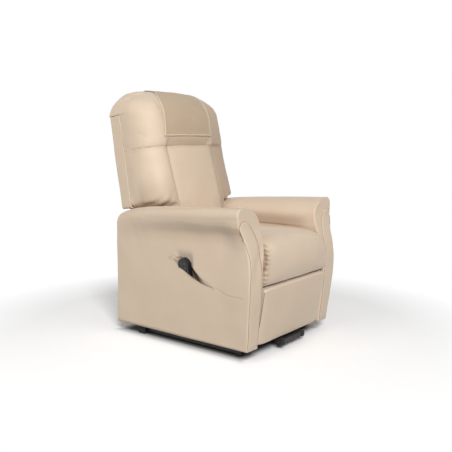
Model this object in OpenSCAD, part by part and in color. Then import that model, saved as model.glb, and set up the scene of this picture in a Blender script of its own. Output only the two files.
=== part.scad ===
// Lift recliner: an upholstered chair body on a four-bar lift linkage above a steel floor base.
// Millimetres, +Z up, the sitter faces -Y. Places are given as [v, z]: v is the distance behind
// the front plane of the arms, z the height above the floor.

/* [Overall] */
// Width over the bases of both arms
chair_w = 642; // [610:1:720]
// Distance from the frame origin forward to the front plane of the arms
front_reach = 411.5; // [380:0.5:440]
// Height of the upholstery's lower edge above the floor
ground_gap = 48; // [46:1:60]

/* [Arms] */
// Length of an arm at its base
arm_len = 767; // [740:1:840]
// Height of the arm's top above the floor, at the front
arm_h = 636; // [600:1:700]
// Thickness of an arm at its base
arm_base_t = 74; // [68:1:90]
// Reach of the arm's padded top inward from the base line
arm_top_t = 105; // [92:1:112]
// Overhang of the rolled top outside the base line
roll_out = 45; // [20:1:60]
// Radius of the rolled top
roll_r = 33; // [26:1:40]
// Fall of the arm's top from front to back
arm_fall = 72; // [20:1:80]
// Radius of the top edge at the back of the arm
rear_r = 48; // [30:1:54]
// Forward belly of the arm's front
belly = 26; // [10:1:36]
// Forward lean of the arm's back edge
rear_lean = 20; // [0:1:40]
// Rounding of the arm's end edges
arm_edge = 8; // [3:1:12]
// Height where the inner pad starts to swell
pad_low = 380; // [360:1:420]
// Height where the inner pad is thickest
pad_high = 500; // [480:1:520]
// Thickness of the facing's padding
facing_t = 5; // [3:1:8]

/* [Pocket and handset] */
// Length of the pocket's slit along the arm
pocket_w = 250; // [220:1:270]
// Rise of the slit from its front end to its back end
pocket_rise = 111; // [90:1:125]
// Place of the slit's front end
pocket_at = [167, 295];
// Depth of the pocket from the arm's base line
pocket_deep = 46; // [44:1:50]
// Height of the hollow above the slit
scoop_h = 85; // [70:1:100]
// How far the pocket's outer flap stands proud of the arm
flap_proud = 4; // [2:1:8]
// Length of the handset
handset_l = 170; // [150:1:180]
// Width of the handset at its head
handset_w = 57; // [48:1:60]
// Width of the handset at its foot
handset_foot_w = 44; // [36:1:50]
// Thickness of the handset
handset_t = 24; // [20:1:26]
// Length of the handset that shows above the slit
handset_show = 56; // [40:1:70]
// Lean of the handset out of the pocket, in degrees
handset_lean = 12; // [11:0.5:13]
// Radius of a key
key_r = 5; // [4:0.5:6]
// Travel of a key
key_travel = 1.2; // [0.8:0.1:1.6]

/* [Seat] */
// Height of the seat cushion's top at its front
seat_h = 497; // [480:1:510]
// Fall of the seat cushion from front to back
seat_fall = 30; // [10:1:40]
// Forward bulge of the seat cushion in front of the arms
seat_bulge = 52; // [30:1:60]
// Distance of the seat cushion's back edge ahead of the backrest hinge
seat_ahead = 148; // [146:1:180]
// Height of the seam between the seat cushion and the legrest
seam_z = 305; // [286:1:306]
// Crown of the seat cushion across its width
seat_crown = 14; // [4:1:24]
// Number of seat springs
spring_count = 5; // [4:1:6]

/* [Back] */
// Lean of the backrest at rest, in degrees
back_lean = 9.3; // [5:0.1:14]
// Height of the backrest's top above its hinge, along the lean
back_h = 840; // [760:1:900]
// Half of the backrest's width
back_half = 254; // [235:1:262]
// Half of the backrest's width where it passes between the arms
tongue_half = 205; // [190:1:207]
// Height of the wide part's lower edge above the hinge
wing_h = 262; // [258:1:290]
// Distance of the backrest's front ahead of the hinge
back_front = 180; // [150:1:185]
// Distance of the outside back behind the hinge
back_rear = 89; // [80:1:95]
// Half of the width of the middle channel
channel_half = 155; // [120:1:175]
// Height of the head pillow's lower seam above the hinge
pillow_h = 526; // [480:1:580]
// Height of the seam where the pillow wraps over the side bands
wrap_h = 700; // [660:1:730]
// Half of the head cover's width
cover_half = 155; // [120:1:170]
// Height of the head cover's lower edge above the pillow's lower seam
cover_rise = 46; // [24:1:120]
// Roll of the back's outer channels towards the sides
side_round = 28; // [10:1:50]
// Thickness of the upholstered outside back
shell_t = 12; // [8:1:16]

/* [Legrest] */
// Height of the legrest's lower edge above the floor
legrest_low = 63; // [58:1:80]
// Length of the legrest panel
legrest_l = 243; // [216:1:244]
// Half of the legrest panel's width
legrest_half = 243; // [232:1:245]
// Forward lean of the panel's top, in degrees
legrest_lean = 9.9; // [6:0.1:11]
// Thickness of the legrest's padding
legrest_pad_t = 30; // [20:1:32]
// Thickness of the legrest's board
legrest_board_t = 15; // [12:1:16]

/* [Base] */
// Width of a base tube
base_tube_w = 40; // [30:1:44]
// Height of a base tube
base_tube_h = 32; // [26:1:33]
// Gap below the base tubes
base_low = 12; // [8:1:12]
// Place of the base rails' front end behind the arms' front plane
base_front_v = 70; // [50:1:90]
// Place of the base rails' back end behind the arms' front plane
base_rear_v = 700; // [690:1:740]
// Wall of a square tube
tube_wall = 2; // [1.5:0.5:3]
// Side of a square cross tube of the chair frame
frame_tube = 25; // [20:1:25]
// Half of the toe bar's width
toe_half = 95; // [85:1:110]

/* [Lift linkage] */
// Thickness of the steel plates and links
plate_t = 6; // [5:0.5:6]
// Side gap between neighbouring links
link_gap = 2.5; // [2.3:0.1:2.5]
// Half of the width of a lift link
link_r = 14; // [12:1:15]
// Radius of a pivot pin
pin_r = 6; // [5:0.5:7]
// Front link's pivot on the base
pivot_a = [174.9, 70.9];
// Rear lift arm's pivot on the base
pivot_b = [243.5, 78.0];
// Front link's pivot on the chair frame
pivot_c = [393.9, 90.9];
// Rear lift arm's pivot on the chair frame
pivot_d = [617.3, 110.0];
// Backrest hinge on the chair frame
pivot_h = [660, 330];
// Radius of the torque tube between the rear lift arms
torque_r = 15; // [10:1:18]

/* [Legrest linkage] */
// Thickness of a legrest link
leg_t = 5; // [4:0.5:5]
// Half of the width of a legrest link
leg_r = 11; // [9:0.5:12]
// Radius of a legrest pivot pin
leg_pin_r = 4; // [3:0.5:5]
// Drive link's pivot on the chair frame
leg_p = [93.9, 270.6];
// Drive link's pivot on the carrier link
leg_q = [222.1, 122.1];
// Carrier link's pivot on the panel
leg_r0 = [42.0, 191.1];
// Control link's pivot on the chair frame
leg_p2 = [35.8, 262.2];
// Control link's pivot on the carrier link
leg_s = [160.0, 105.5];
// Stay link's pivot on the control link
leg_t0 = [154.6, 140.3];
// Stay link's pivot on the panel
leg_u = [31.4, 241.8];

/* [Actuators] */
// Radius of an actuator's tube
act_tube_r = 17; // [14:1:19]
// Radius of an actuator's rod
act_rod_r = 9; // [7:1:10]
// Radius of an actuator's motor can
motor_r = 27; // [22:1:30]
// Length of an actuator's motor can
motor_l = 105; // [80:1:115]
// Lift actuator's pin on the base
lift_e = [316.2, 50.1];
// Lift actuator's pin on the chair frame
lift_g = [100.4, 259.9];
// Place of the lift actuator's eye, off the pin it plays on
lift_eye = [106.6, 264.7];
// Distance of the lift actuator to the sitter's right of the middle
lift_x = 40; // [30:1:60]
// Recline actuator's pin on the chair frame
rec_e = [299.5, 270.0];
// Recline actuator's pin on the backrest
rec_g = [719.7, 219.9];
// Place of the recline actuator's eye, off the pin it plays on
rec_eye = [720.6, 216.9];
// Distance of the recline actuator to the sitter's left of the middle
rec_x = 100; // [80:1:120]

/* [Hidden] */

// Fit between a pin and the hole it turns in, on the radius
fit = 0.08;
// Gap left between soft parts and what they lie against
soft_gap = 0.4;
// Overrun of every cut
over = 1;
waist = 0.3;
// Facets of the curved solids' circles
$fn = 48;

front_y = -front_reach;
base_half = chair_w / 2;
arm_inner = base_half - arm_base_t;
plate_out = arm_inner - soft_gap;
plate_x = plate_out - plate_t;
front_link_x = plate_x - link_gap - plate_t;
bracket_x = front_link_x - link_gap - plate_t;
rear_arm_x = bracket_x - link_gap - plate_t;
rail_x = bracket_x + plate_t;
base_top = base_low + base_tube_h;
head_t = 1.8;
head_grow = 3;

seat_len = pivot_h[0] - seat_ahead;

// Chair frame
frame_top = 297;
frame_low = frame_top - frame_tube;
front_tube_v = 150;
mid_tube_v = 270;
rear_tube_v = pivot_h[0] - 60;
rail_h = 40;
rail_w = 27;
rail_out = 232;
rail_front = 70;
rail_rear = pivot_h[0] - 47.5;
rail_top = frame_top + rail_h;
spring_turns = 14;
spring_reach = 12;
spring_wire = 1.9;
spring_rise = 6;

// Linear blend from a to b
function mix(a, b, t) = a + (b - a) * t;
// Eased blend weight, 0 below lo and 1 above hi
function ease(lo, hi, x) = let (t = min(1, max(0, (x - lo) / (hi - lo)))) t * t * (3 - 2 * t);
// Signed power, for superellipses
function spow(x, n) = sign(x) * pow(abs(x), n);
// Point at a distance d from p towards q
function toward(p, q, d) = p + (q - p) * d / max(norm(q - p), d);

// Closed solid through rings of equal length; each end is capped by a strip or by a fan
function side_faces(n, m) = [for (i = [0:m - 2], j = [0:n - 1], k = [0, 1])
  let (a = i * n + j, b = i * n + (j + 1) % n, c = a + n, d = b + n) k == 0 ? [a, d, b] : [a, c, d]];
function strip_caps(n, m) = [for (j = [0:n / 2 - 2], k = [0, 1], e = [0, 1])
  let (o = e * (m - 1) * n, f = k == 0 ? [j, j + 1, n - 2 - j] : [j, n - 2 - j, n - 1 - j])
  e == 0 ? [o + f[0], o + f[1], o + f[2]] : [o + f[0], o + f[2], o + f[1]]];
function fan_caps(n, m) = [for (j = [0:n - 1], e = [0, 1])
  let (o = e * (m - 1) * n, c = n * m + e, a = o + j, b = o + (j + 1) % n) e == 0 ? [c, a, b] : [c, b, a]];
function middle(ring) = [for (k = [0:2]) (min([for (p = ring) p[k]]) + max([for (p = ring) p[k]])) / 2];
module skin_strip(rings) {
  n = len(rings[0]);
  polyhedron([for (r = rings, p = r) p], concat(side_faces(n, len(rings)), strip_caps(n, len(rings))));
}
module skin_fan(rings) {
  n = len(rings[0]);
  m = len(rings);
  points = concat([for (r = rings, p = r) p], [middle(rings[0]), middle(rings[m - 1])]);
  polyhedron(points, concat(side_faces(n, m), fan_caps(n, m)));
}

// Side profile drawn as [v, z] and given a thickness along X, starting at x
module profile(x, t) {
  translate([x, front_y, 0]) rotate([90, 0, 90]) linear_extrude(t) children();
}
// The same profile on both sides of the chair
module both_profiles(x, t) {
  profile(x, t) children();
  profile(-x - t, t) children();
}
// Flat bar with round ends through two or more places; its straights are a hair narrower than its ends
module bar(places, r) {
  w = r - waist;
  for (p = places) translate(p) circle(r);
  for (k = [0:len(places) - 2]) let (p = places[k], q = places[k + 1])
    translate(p) rotate(atan2(q[1] - p[1], q[0] - p[0])) translate([0, -w]) square([norm(q - p), 2 * w]);
}
// Lug from a round eye at p to the two corners of what it is welded to
module lug(p, corner_a, corner_b, r) {
  w = r - waist;
  side = corner_b[1] > corner_a[1] ? 1 : -1;
  translate(p) circle(r);
  polygon([p - [0, side * w], corner_a, corner_b, p + [0, side * w]]);
}
// Round hole in a flat bar
module hole(p, r) {
  translate(p) circle(r);
}
// Box between two [v, z] corners, from x0 to x1
module block(x0, x1, low, high) {
  translate([x0, front_y + low[0], low[1]]) cube([x1 - x0, high[0] - low[0], high[1] - low[1]]);
}
// Square tube along X with its centre at p
module cross_tube(half, p, w, h) {
  difference() {
    block(-half, half, p - [w / 2, h / 2], p + [w / 2, h / 2]);
    block(-half - over, half + over, p - [w / 2 - tube_wall, h / 2 - tube_wall],
      p + [w / 2 - tube_wall, h / 2 - tube_wall]);
  }
}
// Pin along X through p from x0 to x1, with a thin head outside one end: -1 at x0, 1 at x1
module pin(p, x0, x1, r, end, t) {
  translate([x0, front_y + p[0], p[1]]) rotate([0, 90, 0]) cylinder(h = x1 - x0, r = r);
  translate([end < 0 ? x0 - t : x1, front_y + p[0], p[1]]) rotate([0, 90, 0])
      cylinder(h = t, r = r + head_grow);
}
// Mirror image on the other side of the chair
module both_sides() {
  children();
  mirror([1, 0, 0]) children();
}

// Base

module base_side_rails() {
  color("dimgray") both_sides() difference() {
    block(rail_x, rail_x + base_tube_w, [base_front_v, base_low], [base_rear_v, base_top]);
    block(rail_x + tube_wall, rail_x + base_tube_w - tube_wall,
      [base_front_v - over, base_low + tube_wall], [base_rear_v + over, base_top - tube_wall]);
  }
}

base_mid_z = base_low + base_tube_h / 2;
base_cross_w = 30;
base_front_tube_v = 120;
base_mid_tube_v = lift_e[0] + 34;
base_rear_tube_v = 675;
lug_t = 4;
lug_gap = 0.4;
lug_r = 13;
act_fork_half = 10;
module base_cross_tubes() {
  color("dimgray") {
    for (v = [base_front_tube_v, base_rear_tube_v])
      cross_tube(rail_x, [v, base_mid_z], base_cross_w, base_tube_h);
    cross_tube(rail_x, [base_mid_tube_v, base_mid_z], base_cross_w, base_tube_h);
  }
}

// Plates welded inside the rails; the outer face carries the front link, the inner face the rear arm
bracket_margin = 16;
module base_pivot_brackets() {
  color("dimgray") both_profiles(bracket_x, plate_t) difference() {
    union() {
      bar([pivot_a, pivot_b], bracket_margin);
      translate([pivot_a[0] - bracket_margin + 2 * waist, base_low])
        square([pivot_b[0] - pivot_a[0] + 2 * bracket_margin - 4 * waist, pivot_a[1] - base_low]);
    }
    hole(pivot_a, pin_r);
    hole(pivot_b, pin_r);
  }
  color("dimgray") for (s = [-1, 1])
      profile(-lift_x + s * (act_fork_half + lug_gap + lug_t / 2) - lug_t / 2, lug_t)
    difference() {
      union() {
        lug(lift_e, [base_mid_tube_v - base_cross_w / 2, base_low], [base_mid_tube_v - base_cross_w / 2,
            base_top], lug_r);
      }
      hole(lift_e, pin_r);
    }
}

module base_pivot_pins() {
  color("silver") both_sides() {
    pin(pivot_a, bracket_x, front_link_x + plate_t + soft_gap / 2, pin_r, 1, head_t);
    pin(pivot_b, rear_arm_x - soft_gap / 2, bracket_x + plate_t, pin_r, -1, head_t);
  }
  reach = act_fork_half + lug_gap + lug_t;
  color("silver") translate([-lift_x, 0, 0])
    pin(lift_e, -reach, reach, pin_r, 1, head_t);
}

toe_z = 36;
toe_v = -7;
toe_w = 20;
toe_arm_x = 60;
sleeve_t = 2.5;
foot_len = 16;
module toe_bar() {
  color("dimgray") {
    block(-toe_half, toe_half, [toe_v - toe_w / 2, toe_z - toe_w / 2],
        [toe_v + toe_w / 2, toe_z + toe_w / 2]);
    for (s = [-1, 1])
      block(s * toe_arm_x - toe_w / 2, s * toe_arm_x + toe_w / 2, [toe_v + toe_w / 2, toe_z - toe_w / 2],
        [base_front_tube_v - base_cross_w / 2, base_top]);
  }
}

module toe_bar_feet() {
  color("#1c1c1e") for (s = [-1, 1]) translate([s * (toe_half - foot_len), front_y + toe_v, toe_z])
    difference() {
      cube([foot_len, toe_w + 2 * sleeve_t, toe_w + 2 * sleeve_t], center = true);
      cube([foot_len + 2 * over, toe_w, toe_w], center = true);
    }
}

rear_foot_v = 640;
rear_foot_top = 52;
rear_foot_low = 37;
rear_foot_t = 19;
rear_foot_h = 36;
module rear_feet() {
  color("#1c1c1e") both_profiles(rail_x + base_tube_w, rear_foot_t)
    polygon([[rear_foot_v - rear_foot_low / 2, 0], [rear_foot_v + rear_foot_low / 2, 0],
      [rear_foot_v + rear_foot_top / 2, rear_foot_h], [rear_foot_v - rear_foot_top / 2, rear_foot_h]]);
  color("#1c1c1e") both_profiles(rail_x, base_tube_w)
    translate([rear_foot_v - rear_foot_low / 2, 0]) square([rear_foot_low, base_low]);
}

front_foot_r = 17;
front_foot_v = base_front_v + 24;
module front_feet() {
  color("#1c1c1e") both_sides() translate([rail_x + base_tube_w / 2, front_y + front_foot_v, 0])
    cylinder(h = base_low, r = front_foot_r);
}

// Lift linkage

open_play = 1.4;
torque_at = mix(pivot_b, pivot_d, 0.68);
module rear_lift_arms() {
  color("gray") both_profiles(rear_arm_x, plate_t) difference() {
    bar([pivot_b, pivot_d], link_r);
    hole(pivot_b, pin_r + fit);
    hole(pivot_d, pin_r + fit);
  }
}

module lift_torque_tube() {
  color("gray") translate([-rear_arm_x, front_y + torque_at[0], torque_at[1]]) rotate([0, 90, 0])
      difference() {
    cylinder(h = 2 * rear_arm_x, r = torque_r);
    translate([0, 0, -over]) cylinder(h = 2 * rear_arm_x + 2 * over, r = torque_r - tube_wall);
  }
}

module front_lift_links() {
  color("gray") both_profiles(front_link_x, plate_t) difference() {
    bar([pivot_a, pivot_c], link_r);
    hole(pivot_a, pin_r + fit);
    hole(pivot_c, pin_r + open_play);
  }
}

// Chair frame

beam_low = 240;
plate_front_v = 100;
plate_rear_v = pivot_h[0] + 32;
leg_w = 17;
ear_r = 27;
module frame_side_plates() {
  color("gray") both_profiles(plate_x, plate_t) difference() {
    union() {
      translate([plate_front_v, beam_low]) square([plate_rear_v - plate_front_v, rail_top - beam_low]);
      translate(pivot_h) circle(ear_r);
    }
    hole(pivot_h, pin_r);
  }
}

// Tapered legs welded under the side plates, down to the lift pivots
module leg(p) {
  difference() {
    bar([[p[0] - leg_w, beam_low + leg_w], p, [p[0] + leg_w, beam_low + leg_w]], leg_w);
    translate([p[0] - 4 * leg_w, beam_low]) square([8 * leg_w, 4 * leg_w]);
    hole(p, pin_r);
  }
}
module frame_legs() {
  color("gray") both_profiles(plate_x, plate_t) {
    leg(pivot_c);
    leg(pivot_d);
  }
}

module frame_cross_tubes() {
  color("gray") for (v = [front_tube_v, mid_tube_v, rear_tube_v])
    cross_tube(plate_x, [v, frame_top - frame_tube / 2], frame_tube, frame_tube);
}

back_bracket_x = tongue_half + soft_gap;
spacer_r = pin_r + 6;
module frame_pivot_pins() {
  color("silver") both_sides() {
    pin(pivot_c, front_link_x - soft_gap / 2, plate_out, pin_r, -1, head_t);
    pin(pivot_d, rear_arm_x - soft_gap / 2, plate_out, pin_r, -1, head_t);
    pin(pivot_h, back_bracket_x - soft_gap / 2, plate_out, pin_r, -1, head_t);
    translate([back_bracket_x + plate_t + soft_gap / 2, front_y + pivot_h[0], pivot_h[1]]) rotate([0, 90, 0])
      difference() {
        cylinder(h = plate_x - back_bracket_x - plate_t - soft_gap, r = spacer_r);
        translate([0, 0, -over]) cylinder(h = plate_x - back_bracket_x, r = pin_r);
      }
  }
}

module seat_side_rails() {
  color("burlywood") both_sides()
    block(rail_out - rail_w, rail_out, [rail_front, frame_top], [rail_rear, rail_top]);
}

module seat_cross_rails() {
  color("burlywood") for (v = [rail_front, rail_rear - rail_w])
    block(rail_w - rail_out, rail_out - rail_w, [v, frame_top], [v + rail_w, rail_top]);
}

// One zigzag spring: straight runs across, joined by half rings, drawn flat and then given a thickness
module zigzag(length, turns, reach, wire) {
  pitch = length / turns;
  linear_extrude(2 * wire) {
    for (k = [0:turns - 1]) let (side = k % 2 == 0 ? 1 : -1) translate([side * reach, (k + 0.5) * pitch])
        difference() {
      circle(pitch / 2 + wire);
      circle(pitch / 2 - wire);
      translate([side > 0 ? -pitch : 0, -pitch]) square([pitch, 2 * pitch]);
    }
    for (k = [0:turns]) translate([-reach, k * pitch - wire]) square([2 * reach, 2 * wire]);
  }
}
spring_pitch_x = 2 * (rail_out - rail_w) / (spring_count + 1);
module seat_springs() {
  span = rail_rear - rail_front - 2 * rail_w - 2 * spring_wire;
  color("silver") for (k = [1:spring_count])
    translate([rail_w - rail_out + k * spring_pitch_x, front_y + rail_front + rail_w + spring_wire,
      rail_top - spring_rise]) zigzag(span, spring_turns, spring_reach, spring_wire);
}

// Forks for both actuators: plates on the front and middle cross tubes
module actuator_brackets() {
  color("gray") for (s = [-1, 1]) {
    profile(-lift_x + s * (act_fork_half + lug_gap + lug_t / 2) - lug_t / 2, lug_t) difference() {
      lug(lift_g, [front_tube_v - frame_tube / 2, frame_low], [front_tube_v - frame_tube / 2, frame_top],
          lug_r);
      hole(lift_g, pin_r);
    }
    profile(rec_x + s * (act_fork_half + lug_gap + lug_t / 2) - lug_t / 2, lug_t) difference() {
      lug(rec_e, [mid_tube_v + frame_tube / 2, frame_top], [mid_tube_v + frame_tube / 2, frame_low], lug_r);
      hole(rec_e, pin_r);
    }
  }
  reach = act_fork_half + lug_gap + lug_t;
  color("silver") {
    translate([-lift_x, 0, 0]) pin(lift_g, -reach, reach, pin_r, 1, head_t);
    translate([rec_x, 0, 0]) pin(rec_e, -reach, reach, pin_r, 1, head_t);
  }
}

// Legrest linkage planes, from the outside in
stay_x = 224;
lug_x = stay_x + leg_t + 2;
control_x = stay_x - leg_t - 2;
leg_bracket_x = control_x - leg_t - 2;
drive_x = leg_bracket_x - leg_t - 2;
carrier_x = drive_x - leg_t - 2;
inner_lug_x = carrier_x - leg_t - 2;
leg_head = 1.4;
module legrest_brackets() {
  color("gray") both_profiles(leg_bracket_x, leg_t) difference() {
    union() {
      bar([leg_p2, leg_p], leg_r);
      lug(leg_p, [front_tube_v - frame_tube / 2, frame_low], [front_tube_v - frame_tube / 2, frame_top],
          leg_r);
    }
    hole(leg_p, leg_pin_r);
    hole(leg_p2, leg_pin_r);
  }
  color("silver") both_sides() {
    pin(leg_p, drive_x - soft_gap / 2, leg_bracket_x + leg_t, leg_pin_r, -1, leg_head);
    pin(leg_p2, leg_bracket_x, control_x + leg_t + soft_gap / 2, leg_pin_r, 1, leg_head);
  }
}

box_low = [238, 228];
box_high = [338, frame_low];
box_x = [-205, -95];
module control_box() {
  color("#1c1c1e") block(box_x[0], box_x[1], box_low, box_high);
}
socket_r = 7;
socket_l = 9;
module control_sockets() {
  color("#303032") for (k = [0, 1, 2])
    translate([mix(box_x[0], box_x[1], (k + 1) / 4), front_y + box_high[0], (box_low[1] + box_high[1]) / 2])
      rotate([-90, 0, 0]) difference() {
        cylinder(h = socket_l, r = socket_r);
        translate([0, 0, socket_l / 2]) cylinder(h = socket_l, r = socket_r / 2);
      }
}

// Arms

// Share of the roll that is left at share s of the arm's length
function roll_left(s) = 1 - pow(s, 1.5);
function arm_top(s) = arm_h - arm_fall * (0.5 * pow(s, 1.1) + 0.5 * pow(s, 7));
function cap_r(s) = mix(rear_r, roll_r, roll_left(s));
function cap_u(s) = mix(rear_r, roll_r - roll_out, roll_left(s));
function cap_z(s) = arm_top(s) - cap_r(s);
// Inward reach of the arm at height z, below the padded top
function pad_u(z) = mix(arm_base_t, arm_top_t, ease(pad_low, pad_high, z));
// Forward belly at height z
belly_shares = [[0.08, 0], [0.28, 0.5], [0.45, 0.9], [0.57, 1], [0.66, 0.8], [0.73, 0.42], [0.82, -0.2],
  [0.88, -0.52], [1, -0.58]];
function belly_at(z) = belly * lookup(z / arm_h, belly_shares);
// Outward curl of the side below the roll
curl_shares = [[0, 0], [0.25, 0.2], [0.45, 0.28], [0.7, 0.27], [0.79, 0.29], [0.85, 0.36], [0.9, 0.53],
    [0.97, 0.88],
  [1, 0.95]];
level_steps = 8;
cap_steps = 5;
pad_steps = 7;
function level(k) = mix(ground_gap, pad_high, k / level_steps);
// Cross-section at share s: [u, z] from the outer foot over the top to the inner foot
function arm_section(s) =
  let (w = roll_left(s), cu = cap_u(s), cz = cap_z(s), cr = cap_r(s), a0 = mix(180, 198, w),
    z1 = cz + cr * sin(a0) - over, top = arm_top(s))
  concat(
    [for (k = [0:level_steps + 1]) let (z = k > level_steps ? z1 : level(k))
      [-roll_out * w * lookup((z - ground_gap) / (z1 - ground_gap), curl_shares), z]],
    [for (k = [0:cap_steps - 1]) let (a = mix(a0, 94, k / (cap_steps - 1))) [cu + cr * cos(a),
        cz + cr * sin(a)]],
    [for (k = [0:pad_steps - 1]) let (a = mix(86, 0, k / (pad_steps - 1)))
      [cu + (arm_top_t - cu) * cos(a), pad_high + (top - pad_high) * sin(a)]],
    [for (k = [level_steps - 1:-1:0]) [pad_u(level(k)), level(k)]]);
// Places of the rings along the arm: share of the length and inset of the edge
ring_shares = [[0, 1], [0.004, 0.35], [0.013, 0], [0.08, 0], [0.18, 0], [0.32, 0], [0.48, 0], [0.64, 0],
  [0.8, 0], [0.91, 0], [0.985, 0], [0.996, 0.35], [1, 1]];
fade_share = 0.14;
function arm_ring(s, inset) =
  let (sec = arm_section(s), n = len(sec))
  [for (j = [0:n - 1]) let (p = toward(sec[j], sec[n - 1 - j], min(inset, norm(sec[n - 1 - j] - sec[j]) / 3)),
      l = arm_len - rear_lean * (p[1] - ground_gap) / (arm_h - ground_gap),
      v = s * l - belly_at(p[1]) * max(0, 1 - s / fade_share))
    [p[0] - base_half, front_y + v, p[1]]];
module arm_shape() {
  skin_strip([for (r = ring_shares) arm_ring(r[0], r[1] * arm_edge)]);
}

// Slit of the pocket as [v, z], from its back end at t = 0 to its front end at t = 1
function slit(t) = [pocket_at[0] + pocket_w * (1 - t), pocket_at[1] + pocket_rise * pow(1 - t, 2)];
slit_steps = 10;
slit_points = [for (k = [0:slit_steps]) slit(k / slit_steps)];
handset_t_share = 0.326;
handset_at = slit(handset_t_share);
bag_low = handset_at[1] + (handset_show - handset_l) * cos(handset_lean)
    - handset_t / 2 * sin(handset_lean) - soft_gap;
handset_u = 7;
module in_handset() {
  translate([handset_u - base_half, 0, handset_at[1]]) rotate([0, -handset_lean, 0])
      translate([0, 0, -handset_at[1]])
    children();
}
key_proud = 1.6;
bag_round = 14;
flap_in = 9;
surface_u = -13;
module bag_outline() {
  polygon(concat(slit_points, [[pocket_at[0] + bag_round, mix(bag_low, pocket_at[1], 0.4)],
    [pocket_at[0] + 3 * bag_round, bag_low], [pocket_at[0] + pocket_w - 3 * bag_round, bag_low],
    [pocket_at[0] + pocket_w - bag_round, mix(bag_low, pocket_at[1], 0.4)]]));
}
// Hollow above the slit: deep behind the handset, running out to the arm's surface
function scoop_w(t) = pow(max(0, sin(180 * t)), 0.6);
outside = 30;
module scoop() {
  rings = [for (k = [0:slit_steps]) let (t = mix(0.02, 0.98, k / slit_steps), p = slit(t), w = scoop_w(t))
    [for (q = [[-outside, p[1] + scoop_h * w + over], [-outside, p[1] - over],
        [mix(surface_u, pocket_deep, w), p[1] - over],
            [mix(surface_u, pocket_deep, w), p[1] + scoop_h * w * 0.35],
        [mix(surface_u, pocket_deep, w * 0.5), p[1] + scoop_h * w * 0.68],
            [surface_u - over, p[1] + scoop_h * w]])
      [q[0] - base_half, front_y + p[0], q[1]]]];
  skin_strip(rings);
}

// The way the handset takes out of the pocket
module way_out() {
  in_handset() profile(-outside - handset_t / 2, outside + handset_t + 2 * soft_gap)
    translate(handset_at - [handset_w / 2 + 3 * soft_gap, 0])
        square([handset_w + 6 * soft_gap, handset_l + scoop_h]);
}

module arm_right() {
  color("#d6bf9f") difference() {
    arm_shape();
    profile(-base_half - outside, outside + pocket_deep) bag_outline();
    scoop();
    way_out();
  }
}

module arm_left() {
  color("#d6bf9f") mirror([1, 0, 0]) arm_shape();
}

module pocket_flap() {
  color("#d6bf9f") difference() {
    intersection() {
      translate([-flap_proud, 0, 0]) arm_shape();
      profile(-base_half - outside, outside - flap_in) bag_outline();
    }
    in_handset() profile(-handset_t / 2 - key_proud - soft_gap, handset_t)
      translate(handset_at - [handset_w / 2 + 3 * soft_gap, handset_l])
          square([handset_w + 6 * soft_gap, 2 * handset_l]);
  }
}

// Facing on the arm's front: outer and inner edge as shares of the arm's reach, on the arm's own
// levels and above them
facing_shares = [[-0.005, 0.648], [-0.01, 0.648], [-0.024, 0.648], [-0.043, 0.648], [-0.062, 0.648],
    [-0.067, 0.648],
  [-0.067, 0.633], [-0.076, 0.629], [-0.143, 0.61], [-0.22, 0.538], [-0.3, 0.39], [-0.324, 0.21],
      [-0.25, 0.03]];
facing_top_shares = [0.24, 0.41, 0.53, 0.61];
facing_foot = 12;
facing_gap = 1;
facing_lift = 5;
function facing_z(k) = k == 0 ? ground_gap + facing_foot : k <= level_steps ? level(k)
  : mix(pad_high, arm_h, facing_top_shares[k - level_steps - 1]);
module facing() {
  // One closed ring for each row: back edge, front face, back edge
  rings = [for (k = [0:len(facing_shares) - 1]) let (r = facing_shares[k], z = facing_z(k),
      y = front_y - belly_at(z) - facing_gap - (k > level_steps ? facing_lift : 0))
    [[r[0] * arm_top_t - base_half, y, z], [mix(r[0], r[1], 0.1) * arm_top_t - base_half, y - facing_t, z],
      [mix(r[0], r[1], 0.9) * arm_top_t - base_half, y - facing_t, z], [r[1] * arm_top_t - base_half, y, z]]];
  skin_strip(rings);
}
module facing_right() {
  color("#dcc7a8") facing();
}
module facing_left() {
  color("#dcc7a8") mirror([1, 0, 0]) facing();
}

rear_panel_v = 742;
rear_panel_t = 14;
rear_panel_high = 278;
module rear_panel() {
  color("#cdb594") block(-arm_inner + soft_gap, arm_inner - soft_gap, [rear_panel_v, ground_gap + arm_edge],
    [rear_panel_v + rear_panel_t, rear_panel_high]);
}

// Seat cushion: its side profile is swept across the chair, drawn in and lowered at both sides

cushion_low = rail_top + soft_gap;
nose_half = 100;
nose_v = nose_half - seat_bulge;
nose_z = (seat_h + seam_z + 2 * soft_gap) / 2;
nose_rise = (seat_h - seam_z - 2 * soft_gap) / 2;
nose_steps = 8;
top_steps = 5;
function seat_profile(fall) = concat(
  [for (k = [0:nose_steps]) let (a = mix(-78, 90, k / nose_steps), n = a < 0 ? 5 : 2.7)
    [nose_v - nose_half * pow(cos(a), 2 / n), nose_z + nose_rise * spow(sin(a), 2 / n)
        - (a > 0 ? fall * sin(a) : 0)]],
  [for (k = [1:top_steps]) let (t = k / top_steps)
    [mix(nose_v, seat_len - 2 * arm_edge, t), seat_h - fall - seat_fall * t * t]],
  [[seat_len, seat_h - fall - seat_fall - 2 * arm_edge], [seat_len, cushion_low + 3 * arm_edge]],
  [for (k = [0:top_steps - 1]) let (t = k / (top_steps - 1))
    [mix(seat_len - 2 * arm_edge, rail_front + 2 * arm_edge, t), cushion_low]],
  [for (k = [0:nose_steps]) let (t = k / nose_steps)
    [mix(rail_front - soft_gap, nose_v - nose_half * 0.55, t), mix(cushion_low, seam_z + 2 * soft_gap,
        min(1, 4 * t))]]);
cushion_shares = [-1, -0.985, -0.94, -0.84, -0.66, -0.4, 0, 0.4, 0.66, 0.84, 0.94, 0.985, 1];
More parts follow.
